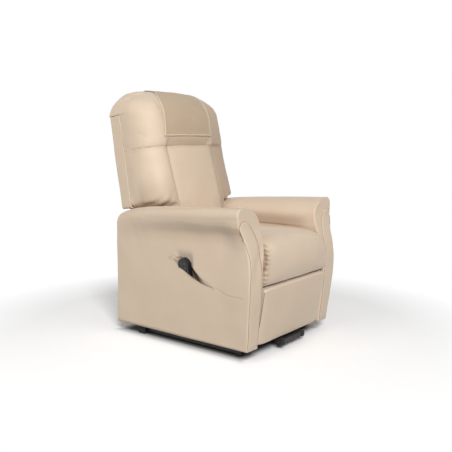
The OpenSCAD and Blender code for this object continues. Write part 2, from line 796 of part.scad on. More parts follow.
function seat_ring(t) =
  let (e = pow(abs(t), 8), sec = seat_profile(seat_crown * (pow(abs(t), 2.5) - 1)), n = len(sec))
  [for (j = [0:n - 1]) let (p = toward(sec[j], sec[n - 1 - j], 1.6 * arm_edge * e))
    [t * (base_half - pad_u(p[1]) - 3 * soft_gap), front_y + p[0], p[1]]];
module seat_cushion() {
  color("#d9c3a3") skin_strip([for (t = cushion_shares) seat_ring(t)]);
}

// Backrest: drawn upright in its own frame, the origin on the hinge line, then leaned back

module in_back() {
  translate([0, front_y + pivot_h[0], pivot_h[1]]) rotate([-back_lean, 0, 0]) children();
}

post_w = 26;
post_x = tongue_half - post_w;
post_d = [24, 62];
post_low = 11;
post_high = 680;
bar_t = 22;
module back_posts() {
  color("burlywood") in_back() both_sides()
    translate([post_x, post_d[0], post_low]) cube([post_w, post_d[1] - post_d[0], post_high - post_low]);
}

module back_cross_bars() {
  color("burlywood") in_back() {
    for (h = [post_low, post_low + (post_high - bar_t) / 2, post_high - bar_t])
      translate([-post_x, post_d[0], h]) cube([2 * post_x, post_d[1] - post_d[0], bar_t]);
  }
}

bracket_reach = [42, 168];
// Fork's upper end, against the lowest bar's underside
fork_top = pivot_h + [44, -12];
// Hinge plates outside the posts, and the fork under the lowest bar that the recline actuator pulls
module back_brackets() {
  color("gray") {
    both_profiles(back_bracket_x, plate_t) difference() {
      union() {
        bar([pivot_h, pivot_h + bracket_reach], link_r);
        translate(pivot_h) circle(1.5 * link_r);
      }
      hole(pivot_h, pin_r + fit);
    }
    for (s = [-1, 1]) profile(rec_x + s * (act_fork_half + lug_gap + lug_t / 2) - lug_t / 2, lug_t)
      difference() {
        bar([rec_g, fork_top], lug_r);
        hole(rec_g, pin_r);
      }
  }
  reach = act_fork_half + lug_gap + lug_t;
  color("silver") translate([rec_x, 0, 0]) pin(rec_g, -reach, reach, pin_r, 1, head_t);
}

// Outside back with its side bands: a shallow tray, open towards the cushion
shell_low = 4;
module shell_outline(inset) {
  wide = back_half - inset;
  narrow = tongue_half + 7 - inset;
  r = 12;
  polygon([[-narrow, shell_low + inset], [narrow, shell_low + inset], [narrow, wing_h + inset - r],
    [narrow + r, wing_h + inset], [wide - r, wing_h + inset], [wide, wing_h + inset + r],
        [wide, wrap_h - inset],
    [-wide, wrap_h - inset], [-wide, wing_h + inset + r], [r - wide, wing_h + inset],
        [-narrow - r, wing_h + inset],
    [-narrow, wing_h + inset - r]]);
}
band_d = 20;
plate_cut_h = 205;
module back_shell() {
  color("#cdb594") in_back() difference() {
    translate([0, back_rear, 0]) rotate([90, 0, 0]) linear_extrude(back_rear - band_d) shell_outline(0);
    translate([0, back_rear - shell_t, 0]) rotate([90, 0, 0]) linear_extrude(back_rear)
        shell_outline(shell_t / 2);
    both_sides() translate([tongue_half - over, -back_rear, -over])
      cube([2 * shell_t, 2 * back_rear - shell_t - over, plate_cut_h]);
    translate([rec_x - 2 * lug_r, -back_rear, -over])
        cube([4 * lug_r, 2 * back_rear - shell_t - over, post_low + over]);
  }
}

// Cushion and pillow are swept up the back through rings of [x, d]; d runs rearward
front_shares = [-1, -0.97, -0.9, -0.8, -0.71, -0.65, -0.62, -0.59, -0.45, -0.22, 0, 0.22, 0.45, 0.59,
    0.62, 0.65,
  0.71, 0.8, 0.9, 0.97, 1];
groove = 7;
lobe = 12;
full_depth = 150;
// Front surface across the width: middle channel, seams, and fuller side channels
function across(share, seam_share, deep, sunk) =
  let (a = abs(share))
  a <= seam_share
    ? sunk + deep * pow(a / seam_share, 4)
    : let (o = (a - seam_share) / (1 - seam_share))
      sunk + deep - (sunk + deep) * pow(sin(90 * pow(o, 0.6)), 0.8)
          + side_round * pow(max(0, o / 0.55 - 0.45 / 0.55), 2);
// Ring at height h: half-width w, front d0, back d1, seam place, groove depth and sunk middle
function back_ring(h, w, d0, d1, deep, sunk) = concat(
  [for (s = front_shares) [s * w, d0 + across(s, channel_half / back_half, deep, sunk) * min(1,
      (d1 - d0) / full_depth), h]],
  [[w * 0.995, mix(d0, d1, 0.9), h], [w * 0.93, d1, h], [0, d1, h], [-w * 0.93, d1, h],
      [-w * 0.995, mix(d0, d1, 0.9), h]]);
cushion_h0 = 128;
// Rows of [share of the cushion's height, share of its front, share of its width above the tongue]
cushion_rows_shares = [[0, 0.86, 0], [0.02, 0.94, 0], [0.1, 0.985, 0], [0.22, 1, 0], [0.3, 1, 0.02],
    [0.335, 1, 0.55],
  [0.36, 1, 0.86], [0.41, 1, 1], [0.55, 0.995, 1], [0.7, 0.965, 1], [0.85, 0.93, 1], [0.95, 0.895, 1],
      [1, 0.82, 0.97]];
module back_cushion() {
  color("#d9c3a3") in_back() skin_fan([for (r = cushion_rows_shares)
    back_ring(mix(cushion_h0, pillow_h - soft_gap, r[0]), mix(tongue_half, back_half, r[2]),
        -back_front * r[1],
      band_d - soft_gap, groove, lobe)]);
}

// Rows of [share of the pillow's height, share of the front, share of the back, share of the width,
// sunk middle]
pillow_rows_shares = [[0, 0.84, 0, 0.97, 1], [0.03, 0.9, 0, 0.995, 1], [0.12, 0.925, 0, 1, 1],
    [0.3, 0.905, 0, 1, 1],
  [0.45, 0.875, 0, 1, 0.9], [0.5556, 0.84, 0, 1, 0.75], [0.5572, 0.838, 1, 1, 0.75],
      [0.64, 0.74, 1, 0.995, 0.6],
  [0.76, 0.5, 1, 0.97, 0.45], [0.86, 0.23, 0.92, 0.9, 0.3], [0.94, 0.02, 0.78, 0.76, 0.2],
      [0.985, -0.1, 0.6, 0.56, 0],
  [1, -0.18, 0.45, 0.4, 0]];
module head_pillow() {
  color("#d9c3a3") in_back() skin_fan([for (r = pillow_rows_shares)
    back_ring(mix(pillow_h, back_h, r[0]), back_half * r[3], -back_front * r[1],
      mix(band_d - soft_gap, back_rear, r[2]), groove / 2, lobe * r[4])]);
}

// Head cover: a loose cloth over the pillow's middle, from the front over the top to the outside back
cover_t = 2.5;
cover_gap = 0.6;
cover_h = pillow_h + cover_rise;
cover_rear_h = wrap_h + 3;
cover_shares = [[0, 1], [0.29, 0.92], [0.68, 0.63], [0.91, 0.36], [1.1, 0.36]];
module pillow_section() {
  lo = band_d - soft_gap;
  polygon(concat(
    [for (r = pillow_rows_shares) let (d = -back_front * r[1],
        reach = min(1, (mix(lo, back_rear, r[2]) - d) / full_depth))
      [d + lobe * r[4] * reach, mix(pillow_h, back_h, r[0])]],
    [for (k = [len(pillow_rows_shares) - 1:-1:0]) let (r = pillow_rows_shares[k])
      [mix(lo, back_rear, r[2]), mix(pillow_h, back_h, r[0])]]));
}
module head_cover() {
  color("#cfb998") in_back() intersection() {
    rotate([90, 0, 90]) translate([0, 0, -cover_half]) linear_extrude(2 * cover_half) difference() {
      offset(r = cover_gap + cover_t) pillow_section();
      offset(r = cover_gap) pillow_section();
      translate([-2 * back_front, 0]) square([2 * back_front, cover_h]);
      square([2 * back_front, cover_rear_h]);
    }
    translate([0, back_front, 0]) rotate([90, 0, 0]) linear_extrude(3 * back_front)
      polygon(concat([[cover_half, back_h + back_rear], [0, back_h + back_rear]],
        [for (k = [len(cover_shares) - 1:-1:0]) [-cover_shares[k][1] * cover_half,
            mix(cover_h, back_h, cover_shares[k][0])]],
        [[-cover_half, 0], [cover_half, 0]]));
  }
}

back_spring_turns = 9;
module back_springs() {
  span = (post_high - bar_t) / 2 - bar_t - 2 * spring_wire;
  color("silver") in_back() for (s = [-1, 0, 1])
    translate([s * post_x / 2, mix(post_d[0], post_d[1], 0.4), post_low + bar_t + spring_wire])
      rotate([90, 0, 0]) zigzag(span, back_spring_turns, spring_reach, spring_wire);
}

// Legrest linkage

module drive_links() {
  color("gray") both_profiles(drive_x, leg_t) difference() {
    bar([leg_p, leg_q], leg_r);
    hole(leg_p, leg_pin_r + fit);
    hole(leg_q, leg_pin_r);
  }
}

leg_play = 3.2;
module carrier_links() {
  color("gray") both_profiles(carrier_x, leg_t) difference() {
    bar([leg_r0, leg_q, leg_s], leg_r);
    hole(leg_q, leg_pin_r + fit);
    hole(leg_r0, leg_pin_r + fit);
    hole(leg_s, leg_pin_r);
  }
}

module control_links() {
  color("gray") both_profiles(control_x, leg_t) difference() {
    bar([leg_p2, leg_s, leg_t0], leg_r);
    hole(leg_p2, leg_pin_r + fit);
    hole(leg_s, leg_pin_r + leg_play);
    hole(leg_t0, leg_pin_r);
  }
}

module stay_links() {
  color("gray") both_profiles(stay_x, leg_t) difference() {
    bar([leg_t0, leg_u], leg_r);
    hole(leg_t0, leg_pin_r + fit);
    hole(leg_u, leg_pin_r + leg_play);
  }
}

// Pins of the moving joints: drive to carrier, carrier to control, control to stay
module drive_pins() {
  color("silver") both_sides() pin(leg_q, carrier_x - soft_gap / 2, drive_x + leg_t, leg_pin_r, -1, leg_head);
}
module carrier_pins() {
  color("silver") both_sides() pin(leg_s, carrier_x, control_x + leg_t + soft_gap / 2, leg_pin_r, 1,
      leg_head);
}
module control_pins() {
  color("silver") both_sides() pin(leg_t0, control_x, stay_x + leg_t + soft_gap / 2, leg_pin_r, 1, leg_head);
}

module in_legrest() {
  translate([0, front_y, legrest_low]) rotate([legrest_lean, 0, 0]) children();
}
pad_corner = 7;
pad_bow = 5;
function pad_ring(t) = let (e = pad_corner * pow(abs(t), 10), bow = pad_bow * (1 - t * t))
  [for (p = [[e, legrest_l * 0.08 + e], [-bow * 0.6, legrest_l * 0.25], [-bow, legrest_l * 0.5],
      [-bow * 0.6, legrest_l * 0.8],
      [e, legrest_l * 0.95 - e], [pad_corner, legrest_l - e], [legrest_pad_t, legrest_l - e],
      [legrest_pad_t, legrest_l * 0.9], [legrest_pad_t, legrest_l * 0.5],
          [legrest_pad_t, legrest_l * 0.2], [legrest_pad_t, e],
      [pad_corner, e]]) [t * legrest_half, p[0], p[1]]];
module legrest_pad() {
  color("#d9c3a3") in_legrest() skin_strip([for (t = cushion_shares) pad_ring(t)]);
}

board_edge = 6;
module legrest_board() {
  color("burlywood") in_legrest() translate([board_edge - legrest_half, legrest_pad_t, board_edge])
    cube([2 * (legrest_half - board_edge), legrest_board_t, legrest_l - 2 * board_edge]);
}

// Lugs behind the board, one pair on the carrier links and one on the stay links
back_of_board = legrest_pad_t + legrest_board_t;
function on_board(h) = [back_of_board * cos(legrest_lean) - h * sin(legrest_lean),
  legrest_low + h * cos(legrest_lean) + back_of_board * sin(legrest_lean)];
function board_h(p) = (p[1] - legrest_low) * cos(legrest_lean) - p[0] * sin(legrest_lean);
module board_lug(p) {
  h = board_h(p);
  difference() {
    union() {
      translate(p) circle(leg_r);
      polygon([on_board(h + 2 * leg_r), on_board(h - 2 * leg_r), p + [0, -leg_r], p + [0, leg_r]]);
    }
    polygon([on_board(h + 4 * leg_r), on_board(h - 4 * leg_r), on_board(h - 4 * leg_r) - [3 * leg_r, 0],
      on_board(h + 4 * leg_r) - [3 * leg_r, 0]]);
    hole(p, leg_pin_r);
  }
}
module legrest_lugs() {
  color("gray") {
    both_profiles(inner_lug_x, leg_t) board_lug(leg_r0);
    both_profiles(lug_x, leg_t) board_lug(leg_u);
  }
  color("silver") both_sides() {
    pin(leg_r0, inner_lug_x, carrier_x + leg_t + soft_gap / 2, leg_pin_r, 1, leg_head);
    pin(leg_u, stay_x - soft_gap / 2, lug_x + leg_t, leg_pin_r, -1, leg_head);
  }
}

// Actuators: drawn along +X in their own frame and turned from the rear pin to the eye

module along(x, e, g) {
  translate([x, front_y + e[0], e[1]]) rotate([0, 0, 90])
      rotate([0, -atan2(g[1] - e[1], g[0] - e[0]), 0]) children();
}
gear_from = 24;
gear_l = 62;
gear_half = 24;
tube_from = gear_from + 8;
module act_motor(up) {
  difference() {
    union() {
      translate([gear_from, -gear_half, -gear_half]) cube([gear_l, 2 * gear_half, 2 * gear_half]);
      translate([gear_from + motor_r + over, 0, up * gear_half]) rotate([up > 0 ? 0 : 180, 0, 0])
        cylinder(h = motor_l, r = motor_r);
      rotate([90, 0, 0]) cylinder(h = 2 * act_fork_half, r = lug_r, center = true);
      translate([0, -act_fork_half, -lug_r]) cube([gear_from, 2 * act_fork_half, 2 * lug_r]);
    }
    rotate([90, 0, 0]) cylinder(h = 4 * act_fork_half, r = pin_r + fit, center = true);
    translate([tube_from, 0, 0]) rotate([0, 90, 0]) cylinder(h = gear_l, r = act_tube_r);
  }
}
module act_tube(tube_to) {
  translate([tube_from, 0, 0]) rotate([0, 90, 0]) difference() {
    cylinder(h = tube_to - tube_from, r = act_tube_r);
    translate([0, 0, 2 * tube_wall]) cylinder(h = tube_to, r = act_rod_r + fit);
  }
}
module act_rod(rod_from, rod_to, eye_hole) {
  eye_r = eye_hole + 6;
  difference() {
    union() {
      translate([rod_from, 0, 0]) rotate([0, 90, 0]) cylinder(h = rod_to - rod_from, r = act_rod_r);
      translate([rod_to, 0, 0]) rotate([90, 0, 0]) cylinder(h = 2 * act_fork_half, r = eye_r, center = true);
    }
    translate([rod_to, 0, 0]) rotate([90, 0, 0]) cylinder(h = 4 * act_fork_half, r = eye_hole, center = true);
  }
}

lift_tube_to = 214;
lift_rod_from = 46;
lift_play = 8.8;
module lift_motor() {
  color("#2a2b2d") along(-lift_x, lift_e, lift_eye) act_motor(-1);
}
module lift_tube() {
  color("#4a4b4e") along(-lift_x, lift_e, lift_eye) act_tube(lift_tube_to);
}
module lift_rod() {
  color("silver") along(-lift_x, lift_e, lift_eye) act_rod(lift_rod_from, norm(lift_eye - lift_e),
      pin_r + lift_play);
}

rec_tube_to = 300;
rec_rod_from = 180;
rec_play = 3.4;
module recline_motor() {
  color("#2a2b2d") along(rec_x, rec_e, rec_eye) act_motor(-1);
}
module recline_tube() {
  color("#4a4b4e") along(rec_x, rec_e, rec_eye) act_tube(rec_tube_to);
}
module recline_rod() {
  color("silver") along(rec_x, rec_e, rec_eye) act_rod(rec_rod_from, norm(rec_eye - rec_e), pin_r + rec_play);
}

// Handset: drawn flat as [v, z] about the slit, its keys on the outer face, then leaned outward

head_r = handset_w / 2;
foot_r = 6;
module handset_outline(inset) {
  top = handset_at + [0, handset_show - head_r];
  low = handset_at + [0, handset_show - handset_l];
  hull() {
    translate(top) circle(head_r - inset);
    for (s = [-1, 1]) translate(low + [s * (handset_foot_w / 2 - foot_r), foot_r]) circle(foot_r - inset / 2);
  }
}
key_places = [[-11, 14], [11, 14], [-11, 34], [11, 34]];
keypad_t = 1.5;
keypad_inset = 6;
key_deep = 4.5;
module handset_shell() {
  color("#202124") in_handset() difference() {
    profile(-handset_t / 2, handset_t) handset_outline(0);
    profile(-handset_t / 2 - over, over + keypad_t) handset_outline(keypad_inset);
    profile(-handset_t / 2, keypad_t + key_deep + key_travel) for (k = key_places)
        hole(handset_at + k, key_r + fit);
  }
}

module handset_keypad() {
  color("#3c3e42") in_handset() profile(-handset_t / 2, keypad_t) difference() {
    handset_outline(keypad_inset + fit);
    for (k = key_places) hole(handset_at + k, key_r + 2 * fit);
  }
}

module key(k) {
  color("#b9bcc0") in_handset() profile(-handset_t / 2 - key_proud,
      key_proud + keypad_t + key_deep - key_travel)
    hole(handset_at + key_places[k], key_r);
}
module key_raise() {
  key(2);
}
module key_lower() {
  key(3);
}
module key_back() {
  key(0);
}
module key_legs() {
  key(1);
}

base_side_rails();
base_cross_tubes();
base_pivot_brackets();
base_pivot_pins();
toe_bar();
toe_bar_feet();
rear_feet();
front_feet();
rear_lift_arms();
lift_torque_tube();
front_lift_links();
frame_side_plates();
frame_legs();
frame_cross_tubes();
frame_pivot_pins();
seat_side_rails();
seat_cross_rails();
seat_springs();
actuator_brackets();
legrest_brackets();
control_box();
control_sockets();
arm_right();
arm_left();
facing_right();
facing_left();
pocket_flap();
rear_panel();
seat_cushion();
back_posts();
back_cross_bars();
back_brackets();
back_shell();
back_cushion();
head_pillow();
head_cover();
back_springs();
drive_links();
carrier_links();
control_links();
stay_links();
legrest_board();
legrest_pad();
legrest_lugs();
drive_pins();
carrier_pins();
control_pins();
lift_motor();
lift_tube();
lift_rod();
recline_motor();
recline_tube();
recline_rod();
handset_shell();
handset_keypad();
key_raise();
key_lower();
key_back();
key_legs();
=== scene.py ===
import bpy
import bmesh
import math
import numpy as np
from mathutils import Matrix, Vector
from mathutils.bvhtree import BVHTree


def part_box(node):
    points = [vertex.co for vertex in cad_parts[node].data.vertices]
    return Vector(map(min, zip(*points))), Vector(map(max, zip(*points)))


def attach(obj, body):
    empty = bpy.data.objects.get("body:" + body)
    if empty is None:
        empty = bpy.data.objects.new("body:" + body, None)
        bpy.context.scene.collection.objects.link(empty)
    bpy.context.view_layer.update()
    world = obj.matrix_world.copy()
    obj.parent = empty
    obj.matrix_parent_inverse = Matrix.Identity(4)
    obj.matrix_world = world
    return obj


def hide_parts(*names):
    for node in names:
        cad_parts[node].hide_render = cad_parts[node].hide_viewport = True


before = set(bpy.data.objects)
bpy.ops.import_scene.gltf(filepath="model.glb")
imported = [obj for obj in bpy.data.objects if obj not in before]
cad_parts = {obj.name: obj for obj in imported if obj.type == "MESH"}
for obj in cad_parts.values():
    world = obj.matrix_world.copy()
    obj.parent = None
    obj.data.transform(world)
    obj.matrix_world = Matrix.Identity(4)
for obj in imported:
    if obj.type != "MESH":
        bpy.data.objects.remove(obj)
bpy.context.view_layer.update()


# Camera: a standing viewer's view of the chair's front right corner, about three metres away,
# through a slightly long lens and tipped a little down.
def placed(name, data):
    """A new object in the scene, at the origin until it is moved"""
    new = bpy.data.objects.new(name, data)
    bpy.context.collection.objects.link(new)
    return new


camera_dip, camera_turn = 7.63, -51.89
view_camera = placed("view_camera", bpy.data.cameras.new("view_camera"))
view_camera.data.lens = 50
view_camera.data.sensor_width = 36
view_camera.location = (-2.298, -1.853, 0.894)
view_camera.rotation_euler = (math.radians(90 - camera_dip), 0, math.radians(camera_turn))
bpy.context.scene.camera = view_camera
bpy.context.scene.view_settings.view_transform = "Standard"


# Studio: a plain white sweep that keeps the chair's soft shadow, a big soft box in front and
# above, a weaker one at the left, and an even white surround.
def maths(operation, turned=False):
    """A way to work on two values, of which one is a wire: it adds their Math node"""
    def work(wire, other):
        values = (other, wire) if turned else (wire, other)
        return wire.finish.node("Math", {"operation": operation}, dict(enumerate(values)))
    return work


class Wire:
    """A node's output that takes part in sums"""
    __add__, __radd__ = maths("ADD"), maths("ADD", True)
    __sub__, __rsub__ = maths("SUBTRACT"), maths("SUBTRACT", True)
    __mul__, __rmul__ = maths("MULTIPLY"), maths("MULTIPLY", True)
    __truediv__, __rtruediv__ = maths("DIVIDE"), maths("DIVIDE", True)
    high, low = maths("MAXIMUM"), maths("MINIMUM")

    def __init__(self, finish, socket):
        self.finish = finish
        self.socket = socket


def tone(r, g, b):
    """Display tone 0 to 255 as linear light"""
    light = [c / 255 / 12.92 if c <= 10 else ((c / 255 + 0.055) / 1.055) ** 2.4 for c in (r, g, b)]
    return (*light, 1)


class Finish:
    """A material, or another tree of nodes, and the one way nodes are added to it"""

    def __init__(self, name, tree=None):
        self.material = None
        self.family = "GeometryNode" if tree and tree.type == "GEOMETRY" else "ShaderNode"
        if tree is None:
            self.material = bpy.data.materials.new(name)
            self.material.use_nodes = True
            tree = self.material.node_tree
        self.tree = tree
        self.tree.nodes.clear()

    def node(self, kind, settings=None, sockets=None, out=0):
        new = self.tree.nodes.new(kind if "Node" in kind else self.family + kind)
        for key, value in (settings or {}).items():
            setattr(new, key, value)
        for key, value in (sockets or {}).items():
            if isinstance(value, Wire):
                self.tree.links.new(value.socket, new.inputs[key])
            else:
                new.inputs[key].default_value = value
        return Wire(self, new.outputs[out])

    def blend(self, factor, first, second):
        return self.node("Mix", {"data_type": "RGBA"}, {0: factor, 6: first, 7: second}, 2)

    def own_place(self):
        return self.node("TexCoord", out="Object")

    def place(self, scale=(1, 1, 1)):
        return self.node("Mapping", None, {"Vector": self.own_place(), "Scale": scale})

    def noise(self, at, scale, detail, rough=0.5):
        sockets = {"Vector": at, "Scale": scale, "Detail": detail, "Roughness": rough}
        return self.node("TexNoise", None, sockets)

    def bump(self, height, distance, strength, under=None):
        sockets = {"Height": height, "Distance": distance, "Strength": strength}
        if under:
            sockets["Normal"] = under
        return self.node("Bump", None, sockets)

    def close(self, shader, output="ShaderNodeOutputMaterial"):
        end = self.tree.nodes.new(output)
        self.tree.links.new(shader.socket, end.inputs["Surface"])
        return self.material

    def surface(self, **sockets):
        names = {key.replace("_", " "): value for key, value in sockets.items()}
        return self.close(self.node("BsdfPrincipled", None, names))


def seen_direct(finish):
    """1 for what the camera, a mirror or glass sees, 0 for light that falls on things"""
    rays = ("Is Camera Ray", "Is Glossy Ray", "Is Transmission Ray")
    path = [finish.node("LightPath", out=ray) for ray in rays]
    return path[0].high(path[1]).high(path[2])


fade_start, fade_long = 0.95, 0.45
shade_half_x, shade_half_y, shade_edge = 0.27, 0.33, 0.06
floor_mesh = bpy.data.meshes.new("floor")
floor_mesh.from_pydata([(-14, -14, 0), (14, -14, 0), (14, 14, 0), (-14, 14, 0)], [], [(0, 1, 2, 3)])
floor = placed("floor", floor_mesh)
sweep = Finish("floor_white")
seen = seen_direct(sweep)
at = sweep.own_place()
away = sweep.node("VectorMath", {"operation": "LENGTH"}, {0: at}, 1)
faded = ((away - fade_start) / fade_long).low(1.0).high(0.0) * seen
x, y = (sweep.node("SeparateXYZ", None, {0: at}, axis) for axis in (0, 1))
# Painted shadow: in a soft-edged patch under the chair the floor's white is painted dark grey
outside = (x.high(0 - x) - shade_half_x).high(y.high(0 - y) - shade_half_y)
deep_shade = (1 - outside / shade_edge).low(1.0).high(0.0)
white = sweep.blend(deep_shade, (1.12, 1.12, 1.12, 1), (0.24, 0.24, 0.24, 1))
paper = sweep.blend(seen, (0.5, 0.5, 0.5, 1), white)
matt = sweep.node("BsdfDiffuse", None, {"Color": paper})
glow = sweep.node("Emission", None, {"Color": (1, 1, 1, 1), "Strength": 1.0})
sweep.close(sweep.node("MixShader", None, {0: faded, 1: matt, 2: glow}))
floor_mesh.materials.append(sweep.material)

world = bpy.data.worlds.new("surround")
bpy.context.scene.world = world
world.use_nodes = True
sky = Finish("surround", world.node_tree)
seen = seen_direct(sky)
strength = seen + (1 - seen) * 0.26
sky.close(sky.node("Background", None, {"Color": (1, 1, 1, 1), "Strength": strength}),
          "ShaderNodeOutputWorld")


def soft_box(name, place, aim, size, power):
    light = placed(name, bpy.data.lights.new(name, "AREA"))
    light.data.shape = "RECTANGLE"
    light.data.size, light.data.size_y = size
    light.data.energy = power
    light.location = place
    light.rotation_euler = (Vector(aim) - Vector(place)).to_track_quat("-Z", "Y").to_euler()


soft_box("box_front", (-6.4, -7.0, 6.4), (0, 0, 0.5), (4.1, 3.7), 1130)
soft_box("box_left", (-3.1, 0.4, 2.6), (0, 0, 0.5), (1.4, 1.4), 15)


# Base rails, cross tubes and toe bar: square steel tube, mitred and welded, then powder coated
# black with the fine orange-peel of baked powder. The pivot plates are welded inside the rails.
def worn(name, clean, rubbed, wear, rough, grain, relief, share=1, stretch=(1, 1, 1), **more):
    """A finish whose tone and gloss vary with broad wear, over a fine raised grain"""
    finish = Finish(name)
    at = finish.place(stretch)
    broad = finish.noise(at, *wear)
    return finish.surface(Base_Color=finish.blend(broad * share, tone(*clean), tone(*rubbed)),
                          Roughness=rough[0] + broad * rough[1],
                          Normal=finish.bump(finish.noise(at, *grain), *relief), **more)


def dress(material, *names):
    """A carried-over CAD node gets its real finish"""
    for name in names:
        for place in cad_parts[name].material_slots:
            place.material = material


powder_black = worn("black_powder_coat", (19, 19, 20), (33, 32, 32), wear=(9, 4), share=0.5,
                    rough=(0.38, 0.18), grain=(520, 3), relief=(0.0004, 0.5))
dress(powder_black, "base_side_rails", "base_cross_tubes", "base_pivot_brackets", "toe_bar")

# Feet and the toe bar's square sleeves: moulded black rubber, pressed on, greyed by the floor
# at their lower edges.
rubber_mix = Finish("foot_rubber")
at = rubber_mix.place()
height = rubber_mix.node("SeparateXYZ", None, {0: rubber_mix.own_place()}, 2)
low_edge = 1 - (height * 60).low(1.0)
grime = (low_edge * 0.6 + rubber_mix.noise(at, 35, 4) * 0.3).low(1.0)
rubber = rubber_mix.surface(Base_Color=rubber_mix.blend(grime, tone(16, 16, 17), tone(44, 43, 42)),
                            Roughness=0.72 + rubber_mix.noise(at, 80, 2) * 0.15,
                            Normal=rubber_mix.bump(rubber_mix.noise(at, 900, 2), 0.0003, 0.6))
dress(rubber, "toe_bar_feet", "rear_feet", "front_feet")

# Lift arms, links, chair frame plates and brackets: flat steel, laser cut and zinc plated, with
# the dull spangle and faint brushing of plated sheet.
zinc = Finish("zinc_plate")
spangle = zinc.node("TexVoronoi", None, {"Vector": zinc.place(), "Scale": 90}, 1)
spangle_grey = zinc.node("RGBToBW", None, {0: spangle})
brush = zinc.noise(zinc.place((1, 1, 40)), 26, 3)
dull = spangle_grey * 0.35 + brush * 0.3
plated = zinc.surface(Base_Color=zinc.blend(dull, tone(150, 152, 155), tone(112, 113, 116)), Metallic=0.85,
                      Roughness=0.34 + brush * 0.2, Normal=zinc.bump(brush, 0.0002, 0.4))
dress(plated, "rear_lift_arms", "lift_torque_tube", "front_lift_links", "frame_side_plates", "frame_legs",
      "frame_cross_tubes", "actuator_brackets", "legrest_brackets", "back_brackets", "drive_links",
      "carrier_links", "control_links", "stay_links", "legrest_lugs")

# Pivot pins, springs and rods: turned and ground bright steel, with fine rings from the lathe
# and a trace of grease.
bright = Finish("bright_steel")
at = bright.place()
rings = bright.node("TexWave", {"wave_type": "BANDS", "bands_direction": "X"},
                    {"Vector": at, "Scale": 260, "Distortion": 0.6, "Detail": 1.0}, 1)
grease = bright.noise(at, 24, 3)
greased = bright.blend(grease * 0.5, tone(196, 197, 199), tone(150, 148, 143))
ground_steel = bright.surface(Base_Color=greased, Metallic=0.95, Roughness=0.2 + grease * 0.2,
                              Normal=bright.bump(rings, 0.00008, 0.5))
dress(ground_steel, "base_pivot_pins", "frame_pivot_pins", "seat_springs", "back_springs", "drive_pins",
      "carrier_pins", "control_pins", "lift_rod", "recline_rod")

# Seat rails, back posts and the legrest board: sawn beech and plywood, glued and screwed, left
# unfinished inside the upholstery.
beech = Finish("sawn_beech")
long_x = beech.noise(beech.place((3, 60, 60)), 3.2, 4)
flecks = beech.noise(beech.place((30, 160, 160)), 3.0, 2)
timber = beech.surface(Base_Color=beech.blend(long_x * 0.8, tone(205, 171, 128), tone(164, 124, 82)),
                       Roughness=0.62 + flecks * 0.16,
                       Normal=beech.bump(long_x + flecks * 0.5, 0.0006, 0.5))
dress(timber, "seat_side_rails", "seat_cross_rails", "back_posts", "back_cross_bars", "legrest_board")

# Actuators and control box: glass-filled black nylon housings, moulded with a fine spark
# texture, and anodised tubes.
black_nylon = worn("black_nylon", (33, 34, 36), (46, 46, 48), wear=(14, 3), rough=(0.5, 0.12),
                   grain=(1100, 2), relief=(0.0002, 0.6))
dress(black_nylon, "control_box", "control_sockets", "lift_motor", "recline_motor")
tube_grey = worn("anodised_tube", (92, 93, 96), (66, 67, 70), wear=(14, 2), share=0.6, rough=(0.3, 0.15),
                 grain=(14, 2), relief=(0.0001, 0.4), stretch=(90, 2, 2), Metallic=0.8)
dress(tube_grey, "lift_tube", "recline_tube")

# Upholstery: a smooth suede-like microfibre in warm beige, with a soft nap that lightens and darkens in
# broad clouds and a very fine grain. The crease attribute paints shade into seams, hollows and channels.
nap = Finish("beige_microfibre")
at = nap.place()
cloud = nap.noise(at, 5.5, 3, 0.55)
stroke = nap.noise(nap.place(scale=(1, 1, 0.35)), 26, 3, 0.6)
grain = nap.noise(at, 780, 2)
crease = nap.node("Attribute", {"attribute_name": "crease"}, None, 2)
cloth_tone = nap.blend((cloud - 0.3) * 0.5 + (stroke - 0.5) * 0.2, tone(210, 190, 167), tone(194, 171, 146))
cloth_tone = nap.blend((grain - 0.45) * 0.3, cloth_tone, tone(172, 147, 120))
# Painted shade: where the crease attribute is set, the cloth is darkened towards a deep brown
cloth_tone = nap.blend(crease.low(1.0), cloth_tone, tone(118, 90, 64))
soft_wave = nap.bump(cloud, 0.004, 0.35)
fine = nap.bump(grain + stroke * 1.2, 0.0005, 0.55, soft_wave)
microfibre = nap.surface(Base_Color=cloth_tone, Roughness=0.58 + (cloud - 0.5) * 0.16, Normal=fine,
                         Sheen_Weight=0.36, Sheen_Roughness=0.42, Sheen_Tint=tone(252, 250, 250),
                         Specular_IOR_Level=0.5)


# Arms: a plywood and foam body wrapped in one panel over the rolled top, closed by a seam under
# the roll. The sitter's right arm has a pocket sewn into its outer side, behind a curved slit.
def mix(a, b, t):
    return a + (b - a) * t


def ease(lo, hi, x):
    """0 at lo, 1 at hi and level beyond them"""
    t = np.clip((np.asarray(x, float) - lo) / (hi - lo), 0, 1)
    return t * t * (3 - 2 * t)


def smooth(rows, x, column=1):
    """Value of a table at x on a curve without overshoot"""
    table = np.asarray(rows, float)
    xs, ys = table[:, 0], table[:, column]
    h, slope = np.diff(xs), np.diff(ys) / np.diff(xs)
    tangent = np.concatenate([slope[:1], np.zeros(len(ys) - 2), slope[-1:]])
    for i in range(1, len(ys) - 1):
        if slope[i - 1] * slope[i] > 0:
            w1, w2 = 2 * h[i] + h[i - 1], h[i] + 2 * h[i - 1]
            tangent[i] = (w1 + w2) / (w1 / slope[i - 1] + w2 / slope[i])
    x = np.clip(np.asarray(x, float), xs[0], xs[-1])
    i = np.clip(np.searchsorted(xs, x) - 1, 0, len(xs) - 2)
    s = (x - xs[i]) / h[i]
    return (ys[i] * (1 + 2 * s) * (1 - s) ** 2 + tangent[i] * h[i] * s * (1 - s) ** 2
            + ys[i + 1] * s * s * (3 - 2 * s) + tangent[i + 1] * h[i] * s * s * (s - 1))


def bell(x, wide):
    """1 at zero, fading within about wide on both sides"""
    return np.exp(-(x / wide) ** 2)


